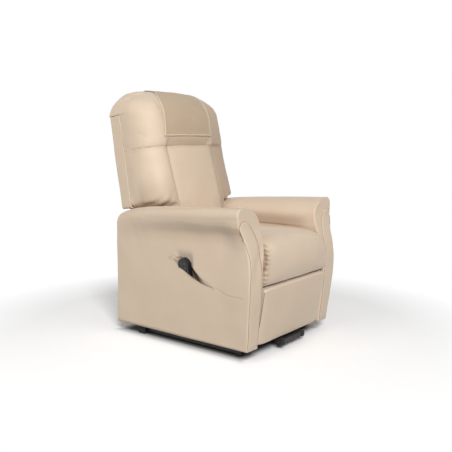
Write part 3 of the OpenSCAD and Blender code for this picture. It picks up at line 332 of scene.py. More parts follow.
def arc(first, last, count):
    """Angles in radians between two in degrees"""
    return np.radians(np.linspace(first, last, count))


def steps(*runs):
    """Even runs of numbers, each from its first to its last, one after the other"""
    return np.concatenate([np.linspace(*run) for run in runs])


def plain_mesh(name, points, faces, edges=()):
    """A mesh from points in millimetres"""
    mesh = bpy.data.meshes.new(name)
    mesh.from_pydata((np.asarray(points, float) / 1000).tolist(), edges, faces)
    return mesh


def make(name, points, faces, material):
    """A closed, smooth shell from points in millimetres, its doubles merged and faces turned out"""
    weld = 0.00002
    mesh = plain_mesh(name, points, faces)
    shell = bmesh.new()
    shell.from_mesh(mesh)
    bmesh.ops.remove_doubles(shell, verts=shell.verts, dist=weld)
    bmesh.ops.dissolve_degenerate(shell, edges=shell.edges, dist=weld)
    bmesh.ops.recalc_face_normals(shell, faces=shell.faces)
    for face in shell.faces:
        face.smooth = True
    shell.to_mesh(mesh)
    shell.free()
    mesh.materials.append(material)
    return placed(name, mesh)


def skin(name, rings, material, columns, ends=(True, True)):
    """Shell through rings; each end is closed by a net between the ring's paired points"""
    rings = np.asarray(rings, float)
    m, n, _ = rings.shape
    points = [list(p) for p in rings.reshape(-1, 3)]
    faces = [(i * n + j, i * n + (j + 1) % n, (i + 1) * n + (j + 1) % n, (i + 1) * n + j)
             for i in range(m - 1) for j in range(n)]
    for row in [row for row, closed in zip((0, m - 1), ends) if closed]:
        first, rows = row * n, []
        for j in range(1, n // 2 - 1):
            p, q = rings[row][j], rings[row][n - 1 - j]
            line = [first + j]
            for c in range(1, columns):
                points.append(list(p + (q - p) * (c / columns)))
                line.append(len(points) - 1)
            rows.append(line + [first + n - 1 - j])
        for a, b in zip(rows, rows[1:]):
            faces += [(a[c], a[c + 1], b[c + 1], b[c]) for c in range(columns)]
        faces.append([first] + rows[0] + [first + n - 1])
        faces.append(rows[-1][::-1] + [first + n // 2 - 1, first + n // 2])
    return make(name, points, faces, material)


def reshape(piece, change):
    """Moves a piece's points: change(points, normals) gives new points in mm, and each one's painted shade,
    kept as its crease
    """
    mesh = piece.data
    flat = np.empty(len(mesh.vertices) * 3)
    mesh.vertices.foreach_get("co", flat)
    normals = np.array([v.vector[:] for v in mesh.vertex_normals])
    points, painted_shade_at = change(flat.reshape(-1, 3) * 1000, normals)
    mesh.vertices.foreach_set("co", (points / 1000).ravel())
    layer = mesh.attributes.new("crease", "FLOAT", "POINT")
    layer.data.foreach_set("value", np.asarray(painted_shade_at, np.float32))
    mesh.update()


def ripple(p, size, seed):
    """Soft fixed unevenness between -1 and 1, about size mm across"""
    k = 2 * math.pi / size
    x, y, z = p.T
    a = np.sin(x * k + y * k * 0.61 + seed) * np.sin(z * k * 0.83 + seed * 2.3)
    b = np.sin(y * k * 1.37 - z * k * 0.74 + seed * 1.7) * np.sin(x * k * 0.57 + seed * 0.9 + 1)
    c = np.sin(z * k * 1.91 + x * k * 1.13 + seed * 3.1)
    return a * 0.5 + b * 0.35 + c * 0.15


def settle(piece, body, slot, *nodes, fill=None):
    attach(piece, body)
    if nodes:
        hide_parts(*nodes)


def upholster(name, rings, columns, change, body, *nodes, fill, held=None, shrink=0):
    """A padded piece in the microfibre; with a rule for where it is held, it is also blown full"""
    piece = skin(name, rings, microfibre, columns)
    if held:
        blown(piece, held, shrink)
    reshape(piece, change)
    settle(piece, body, "upholstery", *nodes, fill=fill)
    return piece


base_half, front_y, arm_len, arm_high, arm_foot = 321, -411.5, 767, 636, 48
shoulder, rear_lean, belly_deep, curl_deep, crown_sinks, crown_drops = 500, 8, 26, 47, 36, 36
inner_low, inner_high, pad_front, pad_full, pad_z = 74, 103, 105, 119, 548
belly_shares = [[0.08, 0], [0.28, 0.5], [0.45, 0.9], [0.57, 1], [0.66, 0.8], [0.73, 0.42], [0.82, -0.2],
                [0.88, -0.52], [1, -0.58]]
curl_shares = [[0, 0], [0.25, 0.2], [0.45, 0.27], [0.7, 0.17], [0.8, 0.13], [0.87, 0.25], [0.93, 0.58],
               [0.97, 0.86], [1, 0.98]]
front_curl_shares = [[0, 0.04], [0.055, 0.1], [0.28, 0.3], [0.51, 0.43], [0.69, 0.35], [0.76, 0.36],
                     [0.83, 0.47], [0.88, 0.63], [0.94, 0.87], [0.975, 0.96], [1, 0.98]]
hollow_shares = [[0, 0], [0.07, 0.12], [0.14, 0.42], [0.22, 0.9], [0.33, 1], [0.48, 0.85], [0.62, 0.45],
                 [0.75, 0.18], [0.9, 0.06], [1, 0]]
slit_front, slit_long, slit_low, slit_rise, seam_rise, seam_droop = 167, 250, 295, 111, 44, 22
flap_u, lining_u, pocket_foot, bag_count = -13, 46, 229, 22
lean_tan = math.tan(math.radians(12))
handset_v, handset_z, handset_u = 335.5, 345.4, 7
handset_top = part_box("handset_shell")[1][2] * 1000


def arm_top(s):
    """Height of the roll's crown, which sinks along the arm and drops at its rear"""
    return arm_high - crown_sinks * s ** 1.1 - crown_drops * s ** 7


def roll_at(s):
    """Fullness, radius and centre of the roll, which thins and draws in towards the rear"""
    w = 1 - s ** 1.5
    return w, mix(48, 33, w), mix(48, -14, w)


def long_at(z):
    """Length of the arm at a height: its rear leans in a little"""
    return arm_len - rear_lean * (z - arm_foot) / (arm_high - arm_foot)


def seam_level(v):
    """Height of the pocket's slit and of the seam that runs on from it to the front"""
    t = (v - slit_front) / slit_long
    beyond = seam_rise * (1 - np.exp(-np.maximum(0, t - 1) * 2 * slit_rise / seam_rise))
    droop = seam_droop * ease(slit_front, slit_front - 85, v)
    return slit_low + slit_rise * np.clip(t, 0, 1) ** 2 + beyond - droop


def bag_rows(lip, seam, deep):
    """The pocket's bag: over the lip, down behind the flap, across its foot and up the back wall"""
    if deep <= 0:
        return np.tile(lip, (bag_count, 1))
    opened = min(1, 2 * deep)
    foot = seam - (seam - pocket_foot) * min(1, 1.25 * deep)
    wall = lip[0] + 8 * opened
    back = mix(flap_u, lining_u, min(1, deep * 1.16))
    rows = [[mix(lip[0], wall, f), seam + 2.4 * math.sin(math.pi * f) * opened]
            for f in (0.12, 0.35, 0.65, 0.9)]
    rows += [[wall, mix(seam - 2, foot + 6, f)] for f in (0, 0.25, 0.5, 0.75, 1)]
    rows += [[wall + max(1.0, back - wall) * f, foot] for f in (0.1, 0.3, 0.5, 0.7, 0.9)]
    rows += [[back, mix(foot + 6, seam - 6, f)] for f in (0, 0.2, 0.4, 0.6, 0.8, 1)]
    rows += [[mix(back, mix(flap_u, lining_u, deep), f), mix(seam - 6, seam, f)] for f in (0.5, 1)]
    return np.array(rows)


def drawn_in(section, inset):
    """Each point moves towards its partner across the section, which rounds off an end"""
    partner = section[::-1]
    reach = np.linalg.norm(partner - section, axis=1)[:, None]
    return section + (partner - section) / np.maximum(reach, 1e-6) * np.minimum(inset, reach / 3)


def arm_ring(s, inset, pocket):
    """One section: outer side with the pocket, the roll, the inner pad and the inner side"""
    low, mid, up, cap = 44, 44, 14, 22
    w, r, cu = roll_at(s)
    top = arm_top(s)
    cz, a0 = top - r, mix(180, 198, w)
    z1 = cz + r * math.sin(math.radians(a0)) - 1
    v = s * arm_len
    for _ in range(3):
        seam = float(seam_level(v))
        v = s * long_at(seam)
    t = 1 - (v - slit_front) / slit_long
    deep = float(smooth(hollow_shares, t)) if pocket and 0 < t < 1 else 0.0
    levels = np.concatenate([mix(arm_foot, seam, 1 - (1 - np.arange(low + 1) / low) ** 1.6),
                             mix(seam, shoulder, (np.arange(1, mid + 1) / mid) ** 1.4)])
    outer_z = np.concatenate([levels, mix(shoulder, z1, np.arange(1, up + 1) / (up + 1))])
    share = (outer_z - arm_foot) / (z1 - arm_foot)
    curl = mix(smooth(front_curl_shares, share), smooth(curl_shares, share), float(ease(0.03, 0.17, s)))
    outer_u = -curl_deep * w * curl
    if deep > 0:
        # Above the slit the side sinks in to the lining, and as far as the handset needs
        up_share = np.clip((outer_z - seam) / (20 + 46 * deep), 0, 1)
        fall = 0.5 + 0.5 * np.cos(math.pi * np.clip((up_share - 0.05) / 0.95, 0, 1))
        sunk = mix(outer_u, mix(flap_u, lining_u, deep), fall)
        need = np.maximum(handset_u + 13 - (outer_z - handset_z) * lean_tan, outer_u)
        beside = ease(60, 26, abs(v - handset_v)) * ease(handset_top + 44, handset_top - 4, outer_z)
        outer_u = np.where(outer_z > seam + 0.01, np.maximum(sunk, mix(outer_u, need, beside)), outer_u)
    outer = np.stack([outer_u, outer_z], 1)
    if pocket:
        outer = np.concatenate([outer[:low + 1], bag_rows(outer[low], seam, deep), outer[low + 1:]])
    angles = np.radians(mix(a0, 94, np.arange(cap) / (cap - 1)))
    cap_points = np.stack([cu + r * np.cos(angles), cz + r * np.sin(angles)], 1)
    pads = len(outer) - (low + mid) + cap
    angles = np.radians(mix(86, -90, (np.arange(pads) + 0.5) / pads))
    root = np.where(angles > 0, cu, inner_high)
    pad_u = root + (mix(pad_front, pad_full, ease(0.03, 0.25, s)) - root) * np.cos(angles)
    pad_high = np.where(angles > 0, top - pad_z, pad_z - shoulder)
    pad_points = np.stack([pad_u, pad_z + pad_high * np.sin(angles)], 1)
    inner = np.stack([mix(inner_low, inner_high, ease(380, 500, levels)), levels], 1)[:-1][::-1]
    section = drawn_in(np.concatenate([outer, cap_points, pad_points, inner]), inset)
    belly = belly_deep * smooth(belly_shares, section[:, 1] / arm_high) * max(0, 1 - s / 0.14)
    v = s * long_at(section[:, 1]) - belly
    return np.stack([section[:, 0] - base_half, front_y + v, section[:, 1]], 1)


def arm_shares(steps):
    """Shares along the arm, each with its inset, which rounds the edge at both ends"""
    edge = 5.5
    first = edge * 1.2 / arm_len
    turn = arc(0, 90, 8)[:-1]
    near = [(first * (1 - math.cos(a)), edge * (1 - math.sin(a))) for a in turn]
    body = [(s, 0.0) for s in np.linspace(first, 1 - first, steps)]
    return near + body + [(1 - s, inset) for s, inset in near[::-1]]


def arm_dress(p, n, outer_sign):
    """Seam under the roll, drag lines near the rear, the slack of the wrapped panel, and painted shade along
    the seam and in the hollow under the roll
    """
    u, v, z = base_half - outer_sign * p[:, 0], p[:, 1] - front_y, p[:, 2]
    s = np.clip(v / arm_len, 0, 1)
    w, r, cu = roll_at(s)
    top = arm_top(s)
    angle = np.degrees(np.arctan2(z - (top - r), u - cu))
    off = np.abs(angle - mix(96, 128, ease(0.0, 0.5, s))) * math.pi / 180 * r
    under_roll = (u < cu + 6) & (angle > 40) & (s > 0.03) & (s < 0.985)
    line = np.where(under_roll, bell(off, 3.4), 0)
    side = (u < 20) & (z < 560)
    slack = ripple(p, 260, 1.3) * 1.3 + ripple(p, 110, 4.2) * 0.3
    drag = bell(v - 640 - (z - 500) * 0.25, 16)
    drag += 0.8 * bell(v - 590 - (z - 500) * 0.3, 13)
    drag *= ease(360, 470, z) * (1 - ease(540, 600, z)) * side
    shaded = bell(top - z - 92, 26) * side * w
    push = slack * side - 0.9 * drag - 1.3 * line
    return p + n * push[:, None], line * 0.16 + 0.3 * shaded


def right_dress(p, n):
    """The seam that runs from the slit to the front, and painted shade along that seam and in the slit itself
    """
    p, painted_shade_at = arm_dress(p, n, -1)
    v, u = p[:, 1] - front_y, p[:, 0] + base_half
    off = p[:, 2] - seam_level(v)
    before = (v > 6) & (u < 10)
    line = np.where(before, bell(off, 3.0), 0) * ease(slit_front + 10, slit_front - 25, v)
    slit_rear = slit_front + slit_long
    along = ease(slit_front - 6, slit_front + 10, v) * ease(slit_rear + 2, slit_rear - 10, v)
    slit = bell(off - 2, 2.6) * along * (u < 60)
    return p - n * (0.8 * line)[:, None], np.maximum(painted_shade_at, np.maximum(line * 0.18, slit * 0.75))


def left_dress(p, n):
    """The inner face is hollowed a little above the seat, where the pad is thin, and the hollow is darkened
    by painted shade
    """
    p, painted_shade_at = arm_dress(p, n, 1)
    inner = ease(base_half - 60, base_half - 90, p[:, 0]) * ease(30, 120, p[:, 1] - front_y)
    hollow = bell(p[:, 2] - 520, 30) * inner
    return p - n * (5 * hollow)[:, None], np.maximum(painted_shade_at, 0.32 * hollow)


rings = [arm_ring(s, inset, True) for s, inset in arm_shares(150)]
arm_right = upholster("arm_right_cover", rings, 12, right_dress, "chair", "arm_right", "pocket_flap",
                      fill=0.8)
rings = [arm_ring(s, inset, False) * (-1, 1, 1) for s, inset in arm_shares(120)]
arm_left = upholster("arm_left_cover", rings, 12, left_dress, "chair", "arm_left", fill=0.8)

# Facings: a padded panel in the same cloth, cut to the scroll of the arm's front, its edge turned under,
# with a thin cord round it coloured deep brown as a painted shadow line where the panel meets the arm.
facing_wide, facing_low, facing_high = 105, 60, 583
facing_rows = [[60, -0.012, 0.63], [120, -0.05, 0.64], [192, -0.106, 0.64], [260, -0.14, 0.63],
               [317, -0.16, 0.62], [360, -0.15, 0.618], [408, -0.128, 0.618], [448, -0.14, 0.617],
               [482, -0.177, 0.6], [510, -0.25, 0.555], [539, -0.355, 0.45], [558, -0.374, 0.33],
               [572, -0.31, 0.22], [580, -0.2, 0.12], [583, -0.12, 0.03]]


def facing_edges(z):
    return smooth(facing_rows, z, 1) * facing_wide, smooth(facing_rows, z, 2) * facing_wide


def hit_tree(piece):
    """A piece's surface, for rays and nearest points"""
    mesh = piece.data
    return BVHTree.FromPolygons([v.co for v in mesh.vertices], [p.vertices[:] for p in mesh.polygons])


def facing(name, sign, arm):
    """The panel laid on the arm's real front, and the path of its edge"""
    tree = hit_tree(arm)
    rings, edges, across = [], ([], []), np.linspace(0, 1, 26)
    for z in steps((facing_low, 500, 70), (503, facing_high, 34)):
        left, right = facing_edges(z)
        end = min(1, (z - facing_low) / 5, (facing_high - z) / 4)
        full = 3.4 * (1 - np.abs(2 * across - 1) ** 5) * math.sqrt(max(0, 1 - (1 - end) ** 2)) + 0.3
        fold = 1.5 * (1 - np.sqrt(np.clip(1 - (np.abs(2 * across - 1)) ** 12, 0, 1)))
        u = mix(left, right, across) + np.where(across < 0.5, fold, -fold)
        face = []
        for a in u:
            start = Vector((sign * (base_half - a), front_y - 100, z)) / 1000
            hit = tree.ray_cast(start, Vector((0, 1, 0)), 0.13)[0]
            hit = hit or tree.find_nearest(start + Vector((0, 0.09, 0)))[0]
            face.append(hit.y * 1000)
        front = [[sign * (base_half - a), y - b, z] for a, b, y in zip(u, full, face)]
        back = [[sign * (base_half - mix(left, right, f)), face[k] + 2, z] for f, k in ((0.9, 23), (0.1, 2))]
        rings.append(front + back)
        for side, k in zip(edges, (0, -1)):
            side.append(np.array(front[k]) - [0, 0.5, 0])
    return skin(name, rings, microfibre, columns=2), edges[0] + edges[1][::-1]


def facing_dress(p, n):
    u = base_half - np.abs(p[:, 0])
    left, right = facing_edges(p[:, 2])
    inside = np.maximum(np.minimum(u - left, right - u), 0)
    # Painted shade: the panel is darkened along its edges
    return p + n * (ripple(p, 120, 2.2) * 0.5)[:, None], 0.2 * bell(inside, 1.6)


def bake(piece):
    """A piece's modifiers become part of its mesh"""
    graph = bpy.context.evaluated_depsgraph_get()
    fresh = bpy.data.meshes.new_from_object(piece.evaluated_get(graph))
    piece.modifiers.clear()
    old = piece.data
    piece.data = fresh
    bpy.data.meshes.remove(old)
    for face in fresh.polygons:
        face.use_smooth = True


def rule(name, **inputs):
    """A geometry rule, the path it follows as a curve, and its named inputs"""
    tree = bpy.data.node_groups.new(name, "GeometryNodeTree")
    for label, kind in {"Geometry": "Geometry", **inputs}.items():
        tree.interface.new_socket(label, in_out="INPUT", socket_type="NodeSocket" + kind)
    tree.interface.new_socket("Geometry", in_out="OUTPUT", socket_type="NodeSocketGeometry")
    made = Finish(name, tree)
    path, *wires = (made.node("NodeGroupInput", out=label) for label in ("Geometry", *inputs))
    return made, made.node("MeshToCurve", None, {0: path}), *wires


def close_rule(made, shape, material):
    whole = made.node("RealizeInstances", None, {0: shape})
    dressed = made.node("SetMaterial", None, {0: whole, "Material": material})
    made.tree.links.new(dressed.socket, made.tree.nodes.new("NodeGroupOutput").inputs[0])


def run_rule(name, made, path, **values):
    """Lets a rule follow a path of points in mm and keeps the mesh it makes"""
    piece = placed(name, plain_mesh(name, path, [], [(i, i + 1) for i in range(len(path) - 1)]))
    modifier = piece.modifiers.new("rule", "NODES")
    modifier.node_group = made.tree
    for item in made.tree.interface.items_tree:
        if item.in_out == "INPUT" and item.name in values:
            modifier[item.identifier] = values[item.name]
    bake(piece)
    return piece


# The cord's deep brown is painted shade, not the colour of the cloth
welt_shadow_tone = worn("welt_shadow_tone", (142, 113, 86), (112, 86, 62), wear=(420, 2), rough=(0.7, 0.1),
                  grain=(420, 2), relief=(0.0003, 0.5))
welt, line, thick, sides, wound = rule("welt", Radius="Float", Sides="Int", Thread="Material")
line = welt.node("ResampleCurve", None, {"Curve": line, "Count": 260})
circle = welt.node("CurvePrimitiveCircle", None, {"Resolution": sides, "Radius": thick})
tube = {"Curve": line, "Profile Curve": circle, "Fill Caps": True}
close_rule(welt, welt.node("CurveToMesh", None, tube), wound)
for side, sign, arm, radius in (("right", -1, arm_right, 0.0008), ("left", 1, arm_left, 0.0005)):
    panel, outline = facing(f"facing_{side}_panel", sign, arm)
    reshape(panel, facing_dress)
    settle(panel, "chair", "upholstery", f"facing_{side}", fill=0.7)
    edge = run_rule(f"facing_{side}_welt", welt, outline, Radius=radius, Sides=6, Thread=welt_shadow_tone)
    settle(edge, "chair", "upholstery")

# Pocket stitching: one row of short stitches in a slightly darker thread, sewn through the
# flap just below the lip.
thread = worn("beige_thread", (190, 166, 138), (160, 134, 106), wear=(900, 2), rough=(0.6, 0.1),
              grain=(900, 2), relief=(0.0002, 0.5))
stitches, line, spacing, long, thick, sewn = rule("stitch_row", Spacing="Float", Length="Float",
                                                  Thickness="Float", Thread="Material")
spots = stitches.node("CurveToPoints", {"mode": "LENGTH"}, {"Curve": line, "Length": spacing})
turned = Wire(stitches, spots.socket.node.outputs["Rotation"])
bead = stitches.node("MeshUVSphere", None, {"Segments": 6, "Rings": 5, "Radius": 0.5})
size = stitches.node("ShaderNodeCombineXYZ", None, {0: thick, 1: thick, 2: long})
beads = {"Points": spots, "Instance": bead, "Rotation": turned, "Scale": size}
close_rule(stitches, stitches.node("InstanceOnPoints", None, beads), sewn)
tree = hit_tree(arm_right)
row = []
for v in np.linspace(slit_front + 12, slit_front + slit_long - 10, 60):
    start = Vector((-500, front_y + v, float(seam_level(v)) - 9)) / 1000
    row.append(np.array(tree.ray_cast(start, Vector((1, 0, 0)))[0]) * 1000)
pocket_row = run_rule("pocket_stitches", stitches, row, Spacing=0.0062, Length=0.0042, Thickness=0.0008,
                      Thread=thread)
settle(pocket_row, "chair", "upholstery")

# Lower rear panel: hardboard wrapped in the same cloth, pressed between the arms' back ends,
# below the outside back.
panel_half, panel_low, panel_high, rear_face, front_face = 246.6, 56, 278, 756, 742
panel_rings = []
for t in np.linspace(-1, 1, 60):
    e, bow = 4 * abs(t) ** 16, 2.0 * (1 - t ** 4)
    low, high = panel_low + e, panel_high - e
    inner, outer = front_face + e, rear_face - e
    profile = [(inner + 1, low + 3), (inner, low + 8), (inner, mix(low, high, 0.5)), (inner, high - 8),
               (inner + 1, high - 3), (746, high), (752, high), (outer - 1, high - 3),
               (outer + bow * 0.3, high - 10), (outer + bow, mix(low, high, 0.7)),
               (outer + bow, mix(low, high, 0.3)), (outer + bow * 0.3, low + 10), (outer - 1, low + 3),
               (750, low)]
    panel_rings.append([[t * panel_half, front_y + a, b] for a, b in profile])
rear_panel = skin("rear_panel_cover", panel_rings, microfibre, columns=3)
settle(rear_panel, "chair", "upholstery_back", "rear_panel", fill=0.9)


# Seat cushion: a foam block in a boxed cover, with a waterfall front that rolls down to the
# legrest. Its side seams are gathered where the cover turns the front corner.
def blown(piece, held, shrink):
    """The cover is cut a little small, filled, and settles between its sewn places"""
    even_size, furthest, frames = 0.0065, 12, 20
    remesh = piece.modifiers.new("even", "REMESH")
    remesh.mode, remesh.voxel_size = "VOXEL", even_size
    bake(piece)
    even = piece.data
    points = np.array([v.co[:] for v in even.vertices]) * 1000
    normals = np.array([v.vector[:] for v in even.vertex_normals])
    sewn = np.clip(held(points), 0, 1)
    points = points - normals * (shrink * (1 - sewn))[:, None]
    even.vertices.foreach_set("co", (points / 1000).ravel())
    group = piece.vertex_groups.new(name="sewn")
    for level in np.unique(np.round(sewn, 2)):
        group.add([int(i) for i in np.flatnonzero(np.round(sewn, 2) == level)], float(level), "REPLACE")
    cloth = piece.modifiers.new("fill", "CLOTH")
    for key, value in {"quality": 4, "mass": 0.3, "tension_stiffness": 12, "compression_stiffness": 12,
                       "shear_stiffness": 6, "bending_stiffness": 0.6, "use_pressure": True,
                       "uniform_pressure_force": 4.0, "vertex_group_mass": "sewn"}.items():
        setattr(cloth.settings, key, value)
    cloth.settings.effector_weights.gravity = 0
    cloth.collision_settings.use_collision = False
    cloth.point_cache.frame_start, cloth.point_cache.frame_end = 1, frames
    scene = bpy.context.scene
    for step in range(1, frames + 1):
        scene.frame_set(step)
    graph = bpy.context.evaluated_depsgraph_get()
    full = piece.evaluated_get(graph).data
    moved = np.array([v.co[:] for v in full.vertices]) * 1000 - points
    length = np.linalg.norm(moved, axis=1)
    moved *= (furthest * np.tanh(length / furthest) / np.maximum(length, 1e-6))[:, None]
    piece.modifiers.clear()
    piece.vertex_groups.clear()
    even.vertices.foreach_set("co", ((points + moved) / 1000).ravel())
    scene.frame_set(1)
    finer = piece.modifiers.new("finer", "SUBSURF")
    finer.levels = finer.render_levels = 1
    bake(piece)


seat_high, seat_under, seat_gap, nose_v, nose_z, nose_rise, nose_out = 497, 337.4, 1.2, 48, 401.4, 95.6, 100


def seat_section(fall):
    a = arc(-78, 90, 40)
    n = np.where(a < 0, 5, 2.7)
    up = np.sign(np.sin(a)) * np.abs(np.sin(a)) ** (2 / n)
    nose = np.stack([nose_v - nose_out * np.cos(a).clip(0) ** (2 / n),
                     nose_z + nose_rise * up - np.where(a > 0, fall * np.sin(a), 0)], 1)
    t = np.linspace(0, 1, 37)[1:]
    top = np.stack([mix(nose_v, 496, t), seat_high - fall - 30 * t * t], 1)
    back = [[506, seat_high - fall - 33], [511, seat_high - fall - 38], [512, seat_high - fall - 46]]
    under = [[512, 361.4], [509, 345], [503, 338.5]]
    bottom = np.stack([mix(496, 86, np.linspace(0, 1, 36)), np.full(36, seat_under)], 1)
    t = np.linspace(0, 1, 40)
    below = np.stack([mix(69.6, -7, t), mix(seat_under, 305.8, np.minimum(1, 4 * t))], 1)
    return np.concatenate([nose, top, back, under, bottom, below])


def seat_half(z):
    """Half width between the arms' pads at a height"""
    return base_half - mix(inner_low, pad_front, ease(380, 500, z)) - seat_gap


def seat_ring(t):
    section = drawn_in(seat_section(14 * (abs(t) ** 2.5 - 1)), 12.8 * abs(t) ** 8)
    return np.stack([t * seat_half(section[:, 1]), front_y + section[:, 0], section[:, 1]], 1)


def seat_held(p):
    side = ease(14, 4, seat_half(p[:, 2]) - np.abs(p[:, 0]))
    under = ease(352, 344, p[:, 2]) * (p[:, 1] > front_y + 60)
    return np.maximum(np.maximum(side, under), ease(322, 308, p[:, 2]))


def seat_dress(p, n):
    v, z = p[:, 1] - front_y, p[:, 2]
    edge = seat_half(z) - np.abs(p[:, 0])
    round_front = ease(90, 20, v) * ease(300, 320, z)
    along = np.where(v < nose_v, z, seat_high + v)
    gather = np.abs(np.sin(along / 6.2 + 0.6 * np.sin(along / 17))) ** 1.5
    near = np.exp(-(np.maximum(edge, 0) / 13) ** 1.6) * round_front
    line = bell(edge - 5, 3.0) * ease(150, 40, v)
    low = bell(z - 297, 4) * (v < 60)
    push = -2.6 * near * gather - 1.4 * line + ripple(p, 170, 0.4) * 1.2 * (edge > 10)
    shade = np.clip(near * gather * 0.4 + line * 0.25 + low * 0.4, 0, 1)
    return p + n * push[:, None], shade


rings = [seat_ring(t) for t in np.sin(arc(-90, 90, 110))]
upholster("seat_cushion_cover", rings, 8, seat_dress, "chair", "seat_cushion", fill=0.85,
          held=seat_held, shrink=4)


# Legrest: a padded panel over its board, flat and plain, the cover turned round the edges and
# tacked behind.
def leaned(q, y, z, angle):
    """Points [across, deep, high] of a panel that leans back by an angle from its foot at y, z"""
    c, s = math.cos(angle), math.sin(angle)
    x, d, h = q[..., 0], q[..., 1], q[..., 2]
    return np.stack([x, y + d * c + h * s, z - d * s + h * c], -1)


def legrest_ring(t):
    e, bow, roll = 7 * abs(t) ** 14, 5 * (1 - t * t), 9
    turn = arc(0, 90, 7)
    low, high = legrest_low + e, legrest_high - e
    front = [[roll * (1 - math.sin(a)) + e, low + roll * (1 - math.cos(a))] for a in turn]
    front += [[e - bow * math.sin(math.pi * f) ** 0.8, mix(low + roll, high - roll, f)]
              for f in np.linspace(0, 1, 40)[1:-1]]
    front += [[roll * (1 - math.cos(a)) + e, high - roll * (1 - math.sin(a))] for a in turn]
    back = [[30 - e * 0.5, h] for h in np.linspace(high - 1, low + 1, len(front))]
    return [[t * legrest_half, d, h] for d, h in front + back]


def legrest_dress(p, n):
    return p + n * (ripple(p, 190, 3.3) * 1.1 - 0.4)[:, None], np.zeros(len(p))


legrest_half, legrest_low, legrest_high, legrest_foot = 244.5, -11, 241.5, 63
rings = np.array([legrest_ring(t) for t in np.sin(arc(-90, 90, 90))])
rings = leaned(rings, front_y, legrest_foot, math.radians(-9.9))
upholster("legrest_cover", rings, 4, legrest_dress, "legrest", "legrest_pad", fill=0.8)

# Outside back: plain panels of the same cloth drawn over the frame, with flat bands down both
# sides and a narrow tongue between the arms.
back_y, back_z, back_angle = 248.5, 330, math.radians(9.3)
back_sin, back_cos = math.sin(back_angle), math.cos(back_angle)


def from_back(q):
    return leaned(q, back_y, back_z, back_angle)


def to_back(p):
    y, z = p[:, 1] - back_y, p[:, 2] - back_z
    return p[:, 0], y * back_cos - z * back_sin, y * back_sin + z * back_cos


def shell_outline(inset):
    """Half outline [half-width, h] from the lower edge up to the top"""
    r, foot, tongue_high, top = 12, 4 + inset, 262 + inset, 700 - inset
    wide, narrow = 260 - inset, 204.6 - inset
    turn = arc(0, 90, 7)
    side = [[narrow - 8 + 8 * math.sin(a), foot + 8 - 8 * math.cos(a)] for a in turn]
    side += [[narrow, h] for h in np.linspace(20, 236, 30)[1:]]
    side += [[narrow + r - r * math.cos(a), tongue_high - r + r * math.sin(a)] for a in turn]
    side += [[wide - r + r * math.sin(a), tongue_high + r - r * math.cos(a)] for a in turn]
    side += [[wide, h] for h in np.linspace(290, top, 50)]
    return np.array(side)


def shell_dress(p, n):
    x, d, h = to_back(p)
    rear = ease(80, 88, d)
    piping = bell(np.abs(x) - 244, 3) * rear * (h > 270)
    push = ripple(p, 230, 5.1) * 1.4 + 1.5 * rear * np.cos(x / 250 * math.pi / 2) - 1.4 * piping
    # Painted shade: the piping groove is darkened
    return p + n * push[:, None], piping * 0.3


shell_rings = []
for k in range(20):
    a = math.radians(90 * max(0, k - 11) / 8)
    inset, d = 8 * (1 - math.cos(a)), mix(20, 81, min(1, k / 11)) + 8 * math.sin(a)
    half = shell_outline(inset)
    ring = np.stack([half[:, 0], np.full(len(half), d), half[:, 1]], 1)
    shell_rings.append(from_back(np.concatenate([ring * (-1, 1, 1), ring[::-1]])))
shell = skin("outside_back_cover", shell_rings, microfibre, columns=30, ends=(False, True))
reshape(shell, shell_dress)
thick = shell.modifiers.new("wall", "SOLIDIFY")
thick.thickness, thick.offset = 0.006, -1
settle(shell, "back", "upholstery_back", "back_shell", fill=0.9)

# Back cushion: three upright channels, the middle one flat, the outer two full, sewn down on
# two seams and gathered at the foot of the outer channels.
seam_share, front_d, frame_half = 155 / 250, -183, 263
cushion_foot, cushion_top, cushion_rear, foot_half, cushion_halves = 128, 529, 19.6, 205, (265, 284)
lobe_rows = [[0, 1, 8, 2], [0.06, 0.45, 6, 2.4], [0.2, 0.1, 8, 3.5], [0.33, 0, 13, 5], [0.47, 0, 21, 7],
             [0.6, 0, 31, 9], [0.73, 0, 45, 11.5], [0.85, 0, 63, 16], [0.95, 0, 88, 25], [1, 0, 120, 45]]
back_shares = steps((-1, -0.66, 30), (-0.65, -0.58, 9), (-0.56, 0.56, 44), (0.58, 0.65, 9), (0.66, 1, 30))
cushion_rows = [[0, 0.88, 0], [0.02, 0.97, 0], [0.1, 1.04, 0], [0.22, 1.09, 0], [0.3, 1.09, 0.02],
                [0.335, 1.085, 0.55], [0.36, 1.08, 0.86], [0.41, 1.07, 1], [0.55, 1.035, 1], [0.7, 0.995, 1],
                [0.85, 0.96, 1], [0.95, 0.94, 1], [1, 0.925, 0.998]]


def across(share, deep, sunk):
    """Depth behind the foremost line: a sunk middle, a seam, and a full lobe that rolls off to the side"""
    a, far = np.abs(share), share >= 0
    outer = np.clip((a - seam_share) / (1 - seam_share), 0, 1)
    roll = np.where(far, smooth(lobe_rows, outer, 3), smooth(lobe_rows, outer, 2))
    lobe = (sunk + deep) * np.where(far, 1, smooth(lobe_rows, outer, 1)) + roll
    middle = sunk + deep * (a / seam_share) ** 8 + np.where(far, 8, 14) * (a / seam_share) ** 2 - 6
    return np.where(a <= seam_share, middle, lobe)


def spread(share, w, seam_x):
    """Place across the back of a share, with the seam at seam_x"""
    a = np.abs(share)
    reach = np.where(share < 0, w[0], w[1])
    beyond = seam_x + (a - seam_share) / (1 - seam_share) * (reach - seam_x)
    return np.sign(share) * np.where(a < seam_share, a / seam_share * seam_x, beyond)


